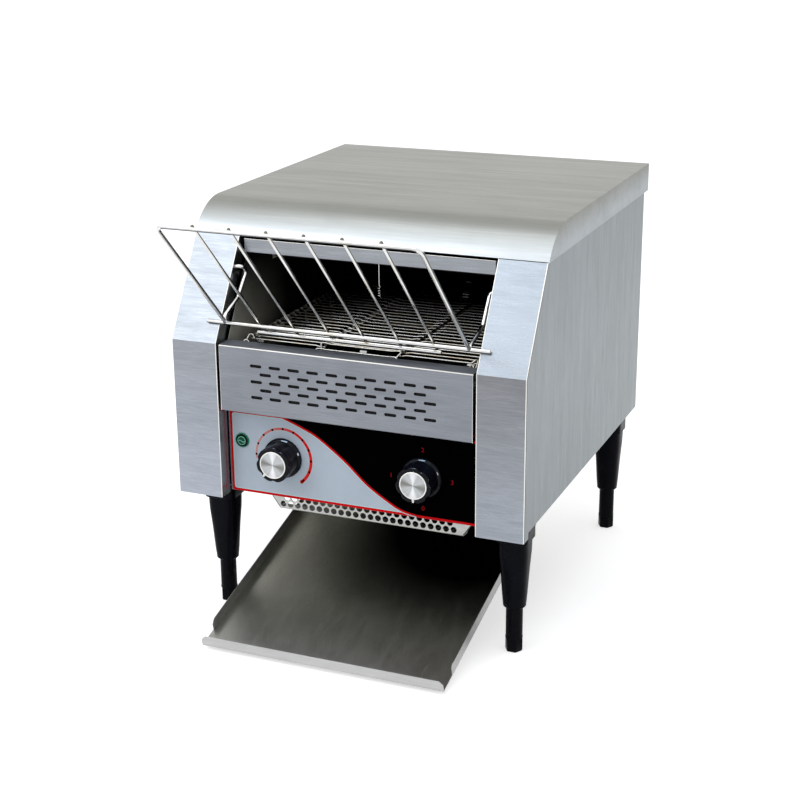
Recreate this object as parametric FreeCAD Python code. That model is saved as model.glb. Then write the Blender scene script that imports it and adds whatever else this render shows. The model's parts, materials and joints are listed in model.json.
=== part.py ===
import FreeCAD, Part
import math
import os

# Conveyor toaster, in millimetres. X is to the right, Y to the back, Z up.
# While the pieces are built, Y is zero at the front face of the two columns and Z is zero at the
# surface that the feet stand on. Each piece is moved along Y at the end, so that the origin lies
# under the middle of the whole toaster.

# Driving dimensions of the body
body_width = 368.0
cover_rear_y = 418.9
top_z = 422.2
kink_z = 297.2
cover_edge_y = 57.7
cover_edge_z = 392.8
cover_lip = 30.0
brow_radius = 60.0
column_width = 49.3
column_flange = 17.0
column_bottom_z = 136.3
column_toe = 14.0
side_bottom_z = 142.8
side_rear_y = 406.7
sheet = 1.0
thin_sheet = 0.8
lap_gap = 0.1
seam_gap = 0.5
running_gap = 0.3
flange_width = 15.0
overrun = 5.0

# Front panels
front_side_gap = 3.2
vent_top_z = 296.9
vent_bottom_z = 229.6
vent_top_flange = 20.0
slot_length = 12.5
slot_height = 3.1
slot_pitch = 20.1
slot_row_pitch = 8.0
slot_margin = 30.0
slot_rows = 5
panel_y = 18.0
panel_sheet = 1.2
panel_side_gap = 1.1
panel_bottom_z = 139.1
panel_top_z = 232.0
header_y = 60.5
header_bottom_z = 375.7
header_top_z = 390.5
header_flange = 12.0

# Controls
knob_inset = 59.6
knob_z = 181.4
knob_flange_radius = 20.5
knob_flange_depth = 3.0
knob_body_radius = 17.4
knob_valley_radius = 15.2
knob_lobes = 7
knob_lobe_shares = (-0.5, -0.24, 0, 0.24)
knob_sides = 20
knob_length = 23.4
knob_cap_radius = 13.2
knob_cap_recess = 0.8
knob_cap_proud = 0.5
spindle_radius = 3.0
spindle_clearance = 0.06
spindle_hole_margin = 1.2
spindle_reach = 9.0
control_body_radius = 13.0
control_body_depth = 14.0
switch_body_half = 21.0
switch_body_depth = 34.0
lamp_inset = 14.7
lamp_z = 194.0
lamp_bezel_radius = 6.9
lamp_lens_radius = 5.0
lamp_bezel_height = 1.6
lamp_lens_proud = 1.2
lamp_body_depth = 22.0

# Lower guard
guard_y = 59.5
guard_bottom_z = 107.5
guard_inset = 30.5
guard_slope_share = 0.70
guard_flange = 12.0
guard_hole_radius = 3.0
guard_hole_pitch = 8.15
guard_row_z = 112.9
guard_rows = 3
guard_hole_margin = 4.0

# Legs and feet
leg_inset = 25.2
leg_front_y = 49.1
leg_rear_y = 383.8
collar_half = 16.2
collar_bottom_z = 119.0
sleeve_top_half = 15.0
sleeve_step_half = 11.35
sleeve_step_z = 48.2
collar_corner = 3.0
foot_radius = 8.65
foot_clearance = 0.08
foot_inside = 50.0
foot_travel_in = 35.0
foot_hex_height = 13.1
foot_hex_half = 7.9
leg_nut_half = 8.0
leg_nut_height = 6.5

# Bread rack
rack_rod_radius = 2.0
rack_wire_radius = 1.5
rack_side_gap = 8.7
rack_rod_overlap = 11.1
rack_rod_along = 21.9
rack_top_y = -110.7
rack_top_z = 437.5
rack_low_y = 17.4
rack_low_z = 308.8
rack_corner_radius = 9.0
rack_wires = 6
wire_sides = 6
bend_steps = 3
bar_sides = 12
rack_wire_tail = 5.0
rack_tip = 3.2
rack_low_overlap = 5.0
weld_sink = 0.4
hook_bend_y = 49.8
hook_bend_z = 349.5
hook_tail = 16.0
hook_bend_radius = 5.4
stud_radius = 2.6
stud_head_radius = 4.2
stud_head_depth = 1.6

# Tray
tray_slope_deg = 14.5
tray_lip_y = -64.7
tray_lip_z = 4.0
tray_side_gap = 6.4
tray_wall = 11.6
tray_lip_height = 12.0
tray_lip_corner = 4.5
tray_notch = 23.6
tray_wall_chamfer = 4.0
hanger_y = 391.0
hanger_z = 131.5
hanger_rod_radius = 3.0
hanger_lug_half = 6.0
hook_tongue_inset = 32.3
hook_tongue_half = 11.0
rest_y = 196.0
rest_half_length = 9.0
rest_ledge = 14.0
rest_side_gap = 1.0

# Belt and shafts
belt_top_z = 292.5
belt_front_y = 46.0
belt_rear_y = 356.0
belt_radius = 24.0
belt_wire = 1.8
belt_side_gap = 10.5
belt_joint_inset = 80.7
belt_strands = 75
belt_joint_gap = 0.3
belt_hook_share = 0.72
shaft_radius = 5.0
shaft_clearance = 0.05
shaft_end_reach = 7.5
wheel_width = 7.0
wheel_place_shares = (-0.92, 0, 0.92)
wheel_teeth = 10
wheel_tooth_height = 2.6
tooth_root_share = 0.29
tooth_tip_share = 0.145
journal_length = 19.0
bush_half = 9.0
bush_proud = 1.5
bush_length = 8.0

# Heating chamber
shield_z = 236.5
chamber_rear_y = 400.0
chamber_top_z = 390.0
exit_front_y = 332.0
reflector_z = 384.0
reflector_front_y = 76.0
reflector_apron = 9.0
lower_reflector_z = 257.0
lower_reflector_front_y = 84.0
lower_reflector_rear_y = 318.0
lower_reflector_wall = 8.0
heater_radius = 5.0
heater_cap_half = 7.0
heater_cap_length = 12.0
heater_tab_half = 3.0
heater_tab_thickness = 0.8
heater_terminal_length = 8.0
upper_heater_z = 362.0
upper_heater_first_y = 128.0
upper_heater_pitch = 72.0
upper_heaters = 3
lower_heater_z = 275.0
lower_heater_first_y = 136.0
lower_heater_pitch = 64.0
lower_heaters = 3
hanger_wire_y = 91.0
hanger_wire_radius = 1.1
hanger_wire_low_z = 344.3
hanger_tip_low_z = 334.4
hanger_tip_radius = 1.9
hanger_tip_rings = 4
chute_y = 398.0
chute_bend_z = 176.0
chute_bend_radius = 44.0
chute_turn_deg = 52.0
chute_tail = 8.0

# Drive
motor_y = 296.0
motor_z = 192.0
gearbox_chain_gap = 17.0
gearbox_length = 44.0
gearbox_half = 26.0
gearbox_chamfer = 2.0
gearbox_plate = 2.0
motor_can_radius = 25.0
motor_can_length = 62.0
output_gear_radius = 20.0
output_gear_width = 8.0
output_gear_room = 0.8
output_gear_teeth = 12
output_tooth_height = 2.2
motor_shaft_radius = 4.0
seat_share = 0.8
chain_reach = 13.5
chain_width = 4.0
drive_sprocket_teeth = 16
motor_sprocket_teeth = 8
chain_pitch = 8.0
chain_turn_steps = 8
chain_thickness = 2.6
sprocket_tooth_height = 1.8
sprocket_end = 2.0
bracket_sheet = 2.0
bracket_foot = 16.0

# Fan and wiring pieces
fan_inset = 69.5
fan_y = 132.0
fan_half = 40.0
fan_depth = 25.0
fan_bore_radius = 37.5
fan_hub_radius = 16.0
fan_blade_radius = 36.0
fan_blades = 5
fan_blade_thickness = 1.2
fan_blade_height = 14.0
fan_blade_tilt_deg = 38.0
fan_strut_height = 3.0
fan_strut_width = 5.0
fan_corner = 6.0
intake_slots = 9
intake_slot_width = 3.6
block_inset = 36.0
block_y = 372.0
block_length = 44.0
block_width = 18.0
block_height = 16.0
block_ways = 4
gland_inset = 34.0
gland_z = 172.0
gland_radius = 9.0
gland_flange_radius = 12.5
gland_flange = 3.0
gland_length = 16.0
gland_bore_radius = 4.2

# Back panel
back_top_z = 405.0
louvre_count = 7
louvre_middle_gap = 28.0
louvre_height = 4.0
louvre_pitch = 11.0
louvre_inset = 110.0
louvre_z = 286.0
hood_depth = 4.0
screw_head_half = 3.5
screw_head_height = 2.4
back_screw_inset = 7.0
back_screw_rows = 4
back_screw_first_share = 0.08

half_width = body_width / 2
skin_x = half_width - sheet - lap_gap
column_inner_x = half_width - column_width
front_half_width = column_inner_x - front_side_gap
panel_half_width = column_inner_x - panel_side_gap
knob_x = panel_half_width - knob_inset
lamp_x = panel_half_width - lamp_inset
guard_bottom_half = front_half_width - guard_inset
guard_holes = int(2 * (guard_bottom_half - guard_hole_margin) / guard_hole_pitch)
slots_in_long_row = int(2 * (front_half_width - slot_margin) / slot_pitch)
leg_x = half_width - leg_inset
rack_half_width = column_inner_x - rack_side_gap
rack_rod_half_length = column_inner_x + rack_rod_overlap
tray_half_width = column_inner_x - tray_side_gap
hanger_lug_x = column_inner_x + running_gap
hook_tongue_x = tray_half_width - hook_tongue_inset
belt_half_width = front_half_width - belt_side_gap
belt_joint_x = belt_half_width - belt_joint_inset
shaft_end_x = front_half_width + shaft_end_reach
chain_x = front_half_width + chain_reach
gearbox_x = chain_x - gearbox_chain_gap - gearbox_length
fan_x = fan_inset - front_half_width
block_x = block_inset - half_width
gland_x = gland_inset - half_width
louvre_x = half_width - louvre_inset
louvre_length = 2 * (louvre_x - louvre_middle_gap)
lip_z = top_z - cover_lip
brow_y = cover_edge_y + brow_radius * math.sin(math.acos((brow_radius - top_z + cover_edge_z) / brow_radius))
brow_z = top_z - brow_radius
slant_angle = math.atan2(cover_edge_z - kink_z, cover_edge_y)
column_top_z = cover_edge_z - seam_gap
column_top_y = (column_top_z - kink_z) / math.tan(slant_angle)
inner_skin_x = skin_x - sheet
base_top_z = side_bottom_z + sheet
back_y = side_rear_y - sheet - sheet
shaft_z = belt_top_z - belt_radius
tray_slope = math.radians(tray_slope_deg)

X_AXIS = FreeCAD.Vector(1, 0, 0)
Y_AXIS = FreeCAD.Vector(0, 1, 0)
Z_AXIS = FreeCAD.Vector(0, 0, 1)


def vec(x, y, z):
    return FreeCAD.Vector(x, y, z)


def middle_y():
    """Half way between the rack's front and the rearmost point."""
    rear_extent = max(cover_rear_y, back_y + sheet + gland_flange + gland_length)
    return (rear_extent + rack_front_extent()) / 2


def save(name, shape):
    """Write one sub-part, moved so that the origin is under the middle of the toaster."""
    moved = shape.copy()
    moved.translate(vec(0, -middle_y(), 0))
    moved.exportStep("parts/" + name + ".step")
    print(name, len(moved.Solids), round(moved.Volume, 1), moved.isValid())


def fuse(shapes):
    """Join touching or overlapping solids into one."""
    joined = shapes[0].multiFuse(shapes[1:]) if len(shapes) > 1 else shapes[0]
    return joined.removeSplitter()


def group(shapes):
    return Part.makeCompound(shapes)


def block(x0, x1, y0, y1, z0, z1):
    """A box between two corners, given in any order along X."""
    low_x = min(x0, x1)
    return Part.makeBox(abs(x1 - x0), y1 - y0, z1 - z0, vec(low_x, y0, z0))


def x_rod(y, z, radius, x0, x1):
    return Part.makeCylinder(radius, abs(x1 - x0), vec(min(x0, x1), y, z), X_AXIS)


def y_rod(x, z, radius, y0, y1):
    return Part.makeCylinder(radius, y1 - y0, vec(x, y0, z), Y_AXIS)


def z_rod(x, y, radius, z0, z1):
    return Part.makeCylinder(radius, z1 - z0, vec(x, y, z0), Z_AXIS)


def yz_face(points):
    corners = [vec(0, y, z) for y, z in points]
    return Part.Face(Part.makePolygon(corners + corners[:1]))


def yz_prism(points, x0, x1):
    """A closed outline of (y, z) points, pulled along X."""
    solid = yz_face(points).extrude(vec(abs(x1 - x0), 0, 0))
    solid.translate(vec(min(x0, x1), 0, 0))
    return solid


def offset_path(points, distance):
    """The open path moved to its right-hand side by a distance, with mitred corners."""
    moved = []
    for index, (y, z) in enumerate(points):
        normals = []
        for first, second in ((index - 1, index), (index, index + 1)):
            if first >= 0 and second < len(points):
                dy = points[second][0] - points[first][0]
                dz = points[second][1] - points[first][1]
                length = math.hypot(dy, dz)
                normals.append((dz / length, -dy / length))
        ny = sum(n[0] for n in normals)
        nz = sum(n[1] for n in normals)
        scale = distance * len(normals) / (ny * ny + nz * nz)
        moved.append((y + ny * scale, z + nz * scale))
    return moved


def yz_strip(points, thickness, x0, x1):
    """Sheet that follows an open path of (y, z) points."""
    return yz_prism(points + offset_path(points, thickness)[::-1], x0, x1)


def arc_edge(centre, radius, start, end):
    """Arc in the YZ plane between two angles from the Y axis."""
    spots = []
    for angle in (start, (start + end) / 2, end):
        spots.append(vec(0, centre[0] + radius * math.cos(angle), centre[1] + radius * math.sin(angle)))
    return Part.Arc(*spots).toShape()


def line_edge(start, end):
    return Part.LineSegment(vec(0, *start), vec(0, *end)).toShape()


def on_arc(centre, radius, angle):
    return (centre[0] + radius * math.cos(angle), centre[1] + radius * math.sin(angle))


def edges_prism(edges, x0, x1):
    """A closed outline of edges in the YZ plane, pulled along X."""
    solid = Part.Face(Part.Wire(edges)).extrude(vec(abs(x1 - x0), 0, 0))
    solid.translate(vec(min(x0, x1), 0, 0))
    return solid


def ring_points(centre, axis, radius, sides):
    """Corners of a regular outline square to an axis, with a flat side towards the outline's right."""
    points = []
    for step in range(sides):
        angle = math.pi / sides + 2 * math.pi * step / sides
        across = radius * math.cos(angle)
        along = radius * math.sin(angle)
        if axis == X_AXIS:
            points.append(centre + vec(0, across, along))
        elif axis == Y_AXIS:
            points.append(centre + vec(across, 0, along))
        else:
            points.append(centre + vec(across, along, 0))
    return points


def flat_face(points):
    return Part.Face(Part.makePolygon(points + points[:1]))


def sided_bar(centre, axis, half_width, length, sides):
    """Bar with a regular outline, measured across its flats. It stands in for a round one that repeats."""
    radius = half_width / math.cos(math.pi / sides)
    return flat_face(ring_points(centre, axis, radius, sides)).extrude(axis * length)


def faceted_rod(start, axis, radius, length):
    """Rod whose corners lie on its radius, for a round stretch that turns in a round bore."""
    return sided_bar(start, axis, radius * math.cos(math.pi / bar_sides), length, bar_sides)


def hexagon_prism(centre, axis, half_width, length):
    return sided_bar(centre, axis, half_width, length, 6)


def tapered_bar(centre, low_half, high_half, height, sides):
    """Upright bar with flat sides that widens from its lower to its upper end."""
    shrink = math.cos(math.pi / sides)
    low = ring_points(centre, Z_AXIS, low_half / shrink, sides)
    high = ring_points(centre + Z_AXIS * height, Z_AXIS, high_half / shrink, sides)
    faces = [flat_face(low), flat_face(high)]
    for index in range(sides):
        after = (index + 1) % sides
        faces.append(flat_face([low[index], low[after], high[after], high[index]]))
    return Part.Solid(Part.Shell(faces))


# Body sheets

def front_profile(top_y, top_z_value):
    return [(0, column_bottom_z), (0, kink_z), (top_y, top_z_value)]


def side_panel(side):
    """Outer skin with its front column, the column's return flange and the inner flanges."""
    outer = side * skin_x
    tuck = sheet + lap_gap
    centre = (brow_y, brow_z)
    inside_radius = brow_radius - tuck
    high_z = lip_z + flange_width
    high_angle = math.pi - math.asin((high_z - brow_z) / inside_radius)
    low_angle = math.pi - math.asin((column_top_z - brow_z) / inside_radius)
    low = on_arc(centre, inside_radius, low_angle)
    high = on_arc(centre, inside_radius, high_angle)
    corners = [low, (column_top_y, column_top_z), (0, kink_z), (0, column_bottom_z),
               (column_toe, column_bottom_z), (column_toe, side_bottom_z),
               (side_rear_y, side_bottom_z), (side_rear_y, high_z), high]
    edges = [line_edge(a, b) for a, b in zip(corners[:-1], corners[1:])]
    edges.append(arc_edge(centre, inside_radius, high_angle, low_angle))
    skin = edges_prism(edges, outer, outer - side * sheet)
    profile = front_profile(column_top_y, column_top_z)
    face = yz_strip(profile, sheet, outer, side * column_inner_x)
    flange = yz_strip(profile, column_flange, side * column_inner_x, side * (column_inner_x + sheet))
    reach = outer - side * flange_width
    foot = block(outer, reach, column_toe, side_rear_y, base_top_z, base_top_z + sheet)
    back = block(outer, reach, side_rear_y - sheet, side_rear_y, base_top_z, high_z)
    return fuse([skin, face, flange, foot, back])


def cover_outline(radius, top, rear, tail):
    """Edges of one face of the cover, from the front edge of the brow to the end of the rear lip."""
    start = math.pi - math.asin((cover_edge_z - brow_z) / brow_radius)
    centre = (brow_y, brow_z)
    first = on_arc(centre, radius, start)
    points = [(brow_y, top), (rear, top), (rear, tail)]
    return first, arc_edge(centre, radius, start, math.pi / 2), points


def top_cover():
    """Wrapped cover: curved brow, flat top, rear lip and two side lips."""
    first, arc, outer = cover_outline(brow_radius, top_z, cover_rear_y, lip_z)
    inner_first, inner_arc, inner = cover_outline(brow_radius - sheet, top_z - sheet,
                                                  cover_rear_y - sheet, lip_z)
    edges = [arc]
    edges += [line_edge(a, b) for a, b in zip(outer[:-1], outer[1:])]
    edges.append(line_edge(outer[-1], inner[-1]))
    edges += [line_edge(a, b) for a, b in zip(inner[::-1][:-1], inner[::-1][1:])]
    edges += [inner_arc, line_edge(inner_first, first)]
    shell = edges_prism(edges, -half_width, half_width)
    lip_front = (first[0], lip_z)
    loop = [arc] + [line_edge(a, b) for a, b in zip(outer[:-1], outer[1:])]
    loop += [line_edge(outer[-1], lip_front), line_edge(lip_front, first)]
    lips = [edges_prism(loop, side * half_width, side * (half_width - sheet)) for side in (-1, 1)]
    return fuse([shell] + lips)


def base_pan():
    """Floor of the body, with the toast exit at the rear and intake slots under the fan."""
    edge_x = inner_skin_x
    front = panel_y + panel_sheet
    plate = block(-edge_x, edge_x, front, back_y, side_bottom_z, base_top_z)
    lip = block(-panel_half_width, panel_half_width, front, front + sheet,
                base_top_z, base_top_z + flange_width)
    pan = fuse([plate, lip])
    exit_hole = block(-front_half_width, front_half_width, exit_front_y, chamber_rear_y,
                      side_bottom_z - overrun, base_top_z + overrun)
    cuts = [exit_hole]
    pitch = 2 * fan_bore_radius / intake_slots
    for index in range(intake_slots):
        offset = (index - (intake_slots - 1) / 2) * pitch
        half = math.sqrt(fan_bore_radius ** 2 - offset ** 2) - intake_slot_width
        slot_y = fan_y + offset
        cuts.append(block(fan_x - half, fan_x + half, slot_y - intake_slot_width / 2,
                          slot_y + intake_slot_width / 2, side_bottom_z - overrun, base_top_z + overrun))
    return pan.cut(cuts)


def back_panel():
    """Rear sheet with two banks of louvres and the hole of the cable gland."""
    plate = block(-inner_skin_x, inner_skin_x, back_y, back_y + sheet, base_top_z + sheet, back_top_z)
    cuts = [sided_bar(vec(gland_x, back_y - overrun, gland_z), Y_AXIS, gland_radius,
                      sheet + 2 * overrun, knob_sides)]
    hoods = []
    for side in (-1, 1):
        for index in range(louvre_count):
            z = louvre_z + (index - (louvre_count - 1) / 2) * louvre_pitch
            x0 = side * louvre_x - louvre_length / 2
            x1 = side * louvre_x + louvre_length / 2
            cuts.append(block(x0, x1, back_y - overrun, back_y + sheet + overrun, z, z + louvre_height))
            outer = back_y + sheet
            top = z + louvre_height
            hood = [(outer, top), (outer + hood_depth, z), (outer + hood_depth, z + sheet),
                    (outer, top + sheet)]
            hoods.append(yz_prism(hood, x0, x1))
    return fuse([plate.cut(cuts)] + hoods)


def header_strip():
    """Strip under the brow that closes the top of the bread opening."""
    points = [(header_y + header_flange, header_bottom_z), (header_y, header_bottom_z),
              (header_y, header_top_z)]
    return yz_strip(points, sheet, -front_half_width, front_half_width)


def slot_cutter(x, z, y0, y1):
    """Slot with rounded ends through a sheet that faces the front."""
    radius = slot_height / 2
    reach = slot_length / 2 - radius
    points = []
    for side in (1, -1):
        for angle in (-90, 0, 90):
            turn = math.radians(angle)
            across = side * (reach + radius * math.cos(turn))
            points.append(vec(x + across, y0, z + side * radius * math.sin(turn)))
    return flat_face(points).extrude(vec(0, y1 - y0, 0))


def vent_panel():
    """Slotted front panel before the belt, folded back at its top and bottom."""
    points = [(panel_y, vent_bottom_z), (0, vent_bottom_z), (0, vent_top_z), (vent_top_flange, vent_top_z)]
    panel = yz_strip(points, sheet, -front_half_width, front_half_width)
    middle = (vent_top_z + vent_bottom_z) / 2
    cuts = []
    for row in range(slot_rows):
        count = slots_in_long_row - row % 2
        z = middle + ((slot_rows - 1) / 2 - row) * slot_row_pitch
        for index in range(count):
            x = (index - (count - 1) / 2) * slot_pitch
            cuts.append(slot_cutter(x, z, -overrun, sheet + overrun / 2))
    return panel.cut(cuts)


def control_panel():
    """Plate that carries the knobs and the lamp, set back behind the columns."""
    plate = block(-panel_half_width, panel_half_width, panel_y, panel_y + panel_sheet,
                  panel_bottom_z, panel_top_z)
    cuts = []
    hole = spindle_radius + spindle_hole_margin
    for x in (-knob_x, knob_x):
        cuts.append(sided_bar(vec(x, panel_y - overrun, knob_z), Y_AXIS, hole, 2 * overrun, bar_sides))
    lamp_place = vec(-lamp_x, panel_y - overrun, lamp_z)
    cuts.append(sided_bar(lamp_place, Y_AXIS, lamp_lens_radius, 2 * overrun, bar_sides))
    return plate.cut(cuts)


def lower_guard():
    """Perforated apron under the controls, in front of the hot base."""
    height = side_bottom_z - guard_bottom_z
    top_half = guard_bottom_half + height * guard_slope_share
    corners = [vec(-guard_bottom_half, guard_y, guard_bottom_z),
               vec(guard_bottom_half, guard_y, guard_bottom_z),
               vec(top_half, guard_y, side_bottom_z), vec(-top_half, guard_y, side_bottom_z)]
    plate = Part.Face(Part.makePolygon(corners + corners[:1])).extrude(vec(0, thin_sheet, 0))
    foot = block(-guard_bottom_half, guard_bottom_half, guard_y, guard_y + guard_flange,
                 guard_bottom_z, guard_bottom_z + thin_sheet)
    head = block(-top_half, top_half, guard_y, guard_y + guard_flange,
                 side_bottom_z - thin_sheet, side_bottom_z)
    row_pitch = guard_hole_pitch * math.cos(math.pi / 6)
    cuts = []
    for row in range(guard_rows):
        count = guard_holes - row % 2
        z = guard_row_z + row * row_pitch
        for index in range(count):
            x = (index - (count - 1) / 2) * guard_hole_pitch
            centre = vec(x, guard_y - overrun / 2, z)
            cuts.append(hexagon_prism(centre, Y_AXIS, guard_hole_radius, overrun))
    return fuse([plate, foot, head]).cut(cuts)


# Legs

def leg_sleeve(x, y):
    """Black moulded leg: square collar, tapered sleeve and the bore of the foot."""
    flat = collar_half - collar_corner
    outline = [(collar_half, flat), (flat, collar_half), (-flat, collar_half), (-collar_half, flat),
               (-collar_half, -flat), (-flat, -collar_half), (flat, -collar_half), (collar_half, -flat)]
    corners = [vec(x + across, y + along, collar_bottom_z) for across, along in outline]
    collar = flat_face(corners).extrude(vec(0, 0, side_bottom_z - collar_bottom_z))
    sleeve = tapered_bar(vec(x, y, sleeve_step_z), sleeve_step_half, sleeve_top_half,
                         collar_bottom_z - sleeve_step_z, bar_sides)
    bore_half = foot_radius + foot_clearance
    bore_depth = foot_inside + foot_travel_in + 2 * overrun
    bore = sided_bar(vec(x, y, sleeve_step_z - overrun), Z_AXIS, bore_half, bore_depth, bar_sides)
    return fuse([collar, sleeve]).cut(bore)


def foot(x, y):
    """Round screw foot with a six-sided end that rests on the table."""
    tube = sided_bar(vec(x, y, foot_hex_height), Z_AXIS, foot_radius,
                     sleeve_step_z + foot_inside - foot_hex_height, bar_sides)
    end = hexagon_prism(vec(x, y, 0), Z_AXIS, foot_hex_half, foot_hex_height)
    return fuse([tube, end])


# Bread rack

def slant_point(along, proud):
    """Point on the slanted front, measured from the kink, and its height off that face."""
    y = along * math.cos(slant_angle) - proud * math.sin(slant_angle)
    z = kink_z + along * math.sin(slant_angle) + proud * math.cos(slant_angle)
    return y, z


def bent_line(points, bend):
    """The points of a path, with each inner corner replaced by short chords of an arc."""
    line = [points[0]]
    for index in range(1, len(points) - 1):
        corner = points[index]
        back = (points[index - 1] - corner).normalize()
        ahead = (points[index + 1] - corner).normalize()
        half = back.getAngle(ahead) / 2
        first = corner + back * (bend / math.tan(half))
        centre = corner + (back + ahead).normalize() * (bend / math.sin(half))
        turn = math.pi - 2 * half
        axis = (first - centre).cross(back).normalize()
        for step in range(bend_steps + 1):
            spoke = FreeCAD.Rotation(axis, math.degrees(-turn * step / bend_steps)).multVec(first - centre)
            line.append(centre + spoke)
    return line + [points[-1]]


def wire_path(points, radius, bend):
    """Wire along points in one plane, with bent corners. It stands in for a round wire."""
    line = bent_line(points, bend) if len(points) > 2 else points
    way = (line[1] - line[0]).normalize()
    across = X_AXIS if abs(way.dot(X_AXIS)) < abs(way.dot(Y_AXIS)) + abs(way.dot(Z_AXIS)) else Y_AXIS
    up = way.cross(across).normalize()
    side = up.cross(way).normalize()
    corner_radius = radius / math.cos(math.pi / wire_sides)
    ring = []
    for step in range(wire_sides):
        angle = 2 * math.pi * step / wire_sides
        spoke = side * math.cos(angle) + up * math.sin(angle)
        ring.append(line[0] + spoke * corner_radius)
    section = Part.makePolygon(ring + ring[:1])
    return Part.makePolygon(line).makePipeShell([section], True, False, 1)


def rack_wire_ends():
    """Lower and upper end of a cross wire, which lies on the bread's side of the rods."""
    lean = math.atan2(rack_top_z - rack_low_z, rack_low_y - rack_top_y)
    lift = rack_rod_radius + rack_wire_radius - weld_sink
    shift_y = lift * math.sin(lean)
    shift_z = lift * math.cos(lean)
    way_y = -math.cos(lean)
    way_z = math.sin(lean)
    low = (rack_low_y + shift_y - way_y * rack_wire_tail, rack_low_z + shift_z - way_z * rack_wire_tail)
    high = (rack_top_y + shift_y + way_y * rack_tip, rack_top_z + shift_z + way_z * rack_tip)
    return low, high


def rack_rod_spot():
    """Middle of the cross rod that lies in front of the columns."""
    return slant_point(rack_rod_along, rack_rod_radius + running_gap)


def rack_front_extent():
    """Foremost point of the rack, on a corner of its top wire."""
    rod_y, rod_z = rack_rod_spot()
    lean = math.atan2(rack_top_z - rod_z, rod_y - rack_top_y)
    reach = max(math.cos(lean + 2 * math.pi * step / wire_sides) for step in range(wire_sides))
    return rack_top_y - reach * rack_rod_radius / math.cos(math.pi / wire_sides)


def bread_rack():
    """Welded wire rack that leans out over the front and hooks behind the columns."""
    rod_y, rod_z = rack_rod_spot()
    frame = [vec(-rack_half_width, rod_y, rod_z), vec(-rack_half_width, rack_top_y, rack_top_z),
             vec(rack_half_width, rack_top_y, rack_top_z), vec(rack_half_width, rod_y, rod_z)]
    rod = [vec(-rack_rod_half_length, rod_y, rod_z), vec(rack_rod_half_length, rod_y, rod_z)]
    pitch = 2 * rack_half_width / (rack_wires + 1)
    low_half = pitch * (rack_wires - 1) / 2 + rack_low_overlap
    low_rod = [vec(-low_half, rack_low_y, rack_low_z), vec(low_half, rack_low_y, rack_low_z)]
    wires = [wire_path(frame, rack_rod_radius, rack_corner_radius)]
    wires += [wire_path(line, rack_rod_radius, 0) for line in (rod, low_rod)]
    for index in range(rack_wires):
        x = (index - (rack_wires - 1) / 2) * pitch
        ends = [vec(x, y, z) for y, z in rack_wire_ends()]
        wires.append(wire_path(ends, rack_wire_radius, 0))
    rise, across = hook_ways()
    for side in (-1, 1):
        x = side * rack_half_width
        bend = vec(x, hook_bend_y, hook_bend_z)
        top = bend + rise * (2 * hook_bend_radius)
        corner = top + across * (2 * hook_bend_radius)
        spots = [vec(x, rod_y, rod_z), top - rise * hook_tail, top, corner, corner - rise * hook_tail]
        wires.append(wire_path(spots, rack_rod_radius, hook_bend_radius - running_gap))
    return fuse(wires)


def hook_ways():
    """Direction in which the rack lifts off, along the slanted front, and the one across its hooks."""
    rise = vec(0, math.cos(slant_angle), math.sin(slant_angle))
    return rise, vec(0, -rise.z, rise.y)


def hook_studs():
    """Shoulder studs on the columns' return flanges that the rack's hooks drop over."""
    rise, across = hook_ways()
    clear = stud_radius + rack_rod_radius + running_gap
    seat = vec(0, hook_bend_y, hook_bend_z) + across * hook_bend_radius
    seat = seat + rise * (2 * hook_bend_radius - clear)
    studs = []
    for side in (-1, 1):
        tip = rack_half_width - rack_rod_radius / math.cos(math.pi / wire_sides) - running_gap
        length = column_inner_x - tip
        start = vec(side * tip, seat.y, seat.z)
        stem = sided_bar(start, X_AXIS, stud_radius, side * length, bar_sides)
        head = hexagon_prism(start, X_AXIS, stud_head_radius, -side * stud_head_depth)
        studs.append(fuse([stem, head]))
    return studs


# Tray

def tray_place(shape):
    """Tilt a piece of the flat tray to its slope and put its lip in place."""
    placed = shape.copy()
    placed.rotate(vec(0, 0, 0), X_AXIS, tray_slope_deg)
    placed.translate(vec(0, tray_lip_y, tray_lip_z))
    return placed


def tray_length():
    tongue_front = hanger_y - hanger_rod_radius - running_gap
    return (tongue_front - tray_lip_y) / math.cos(tray_slope)


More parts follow.
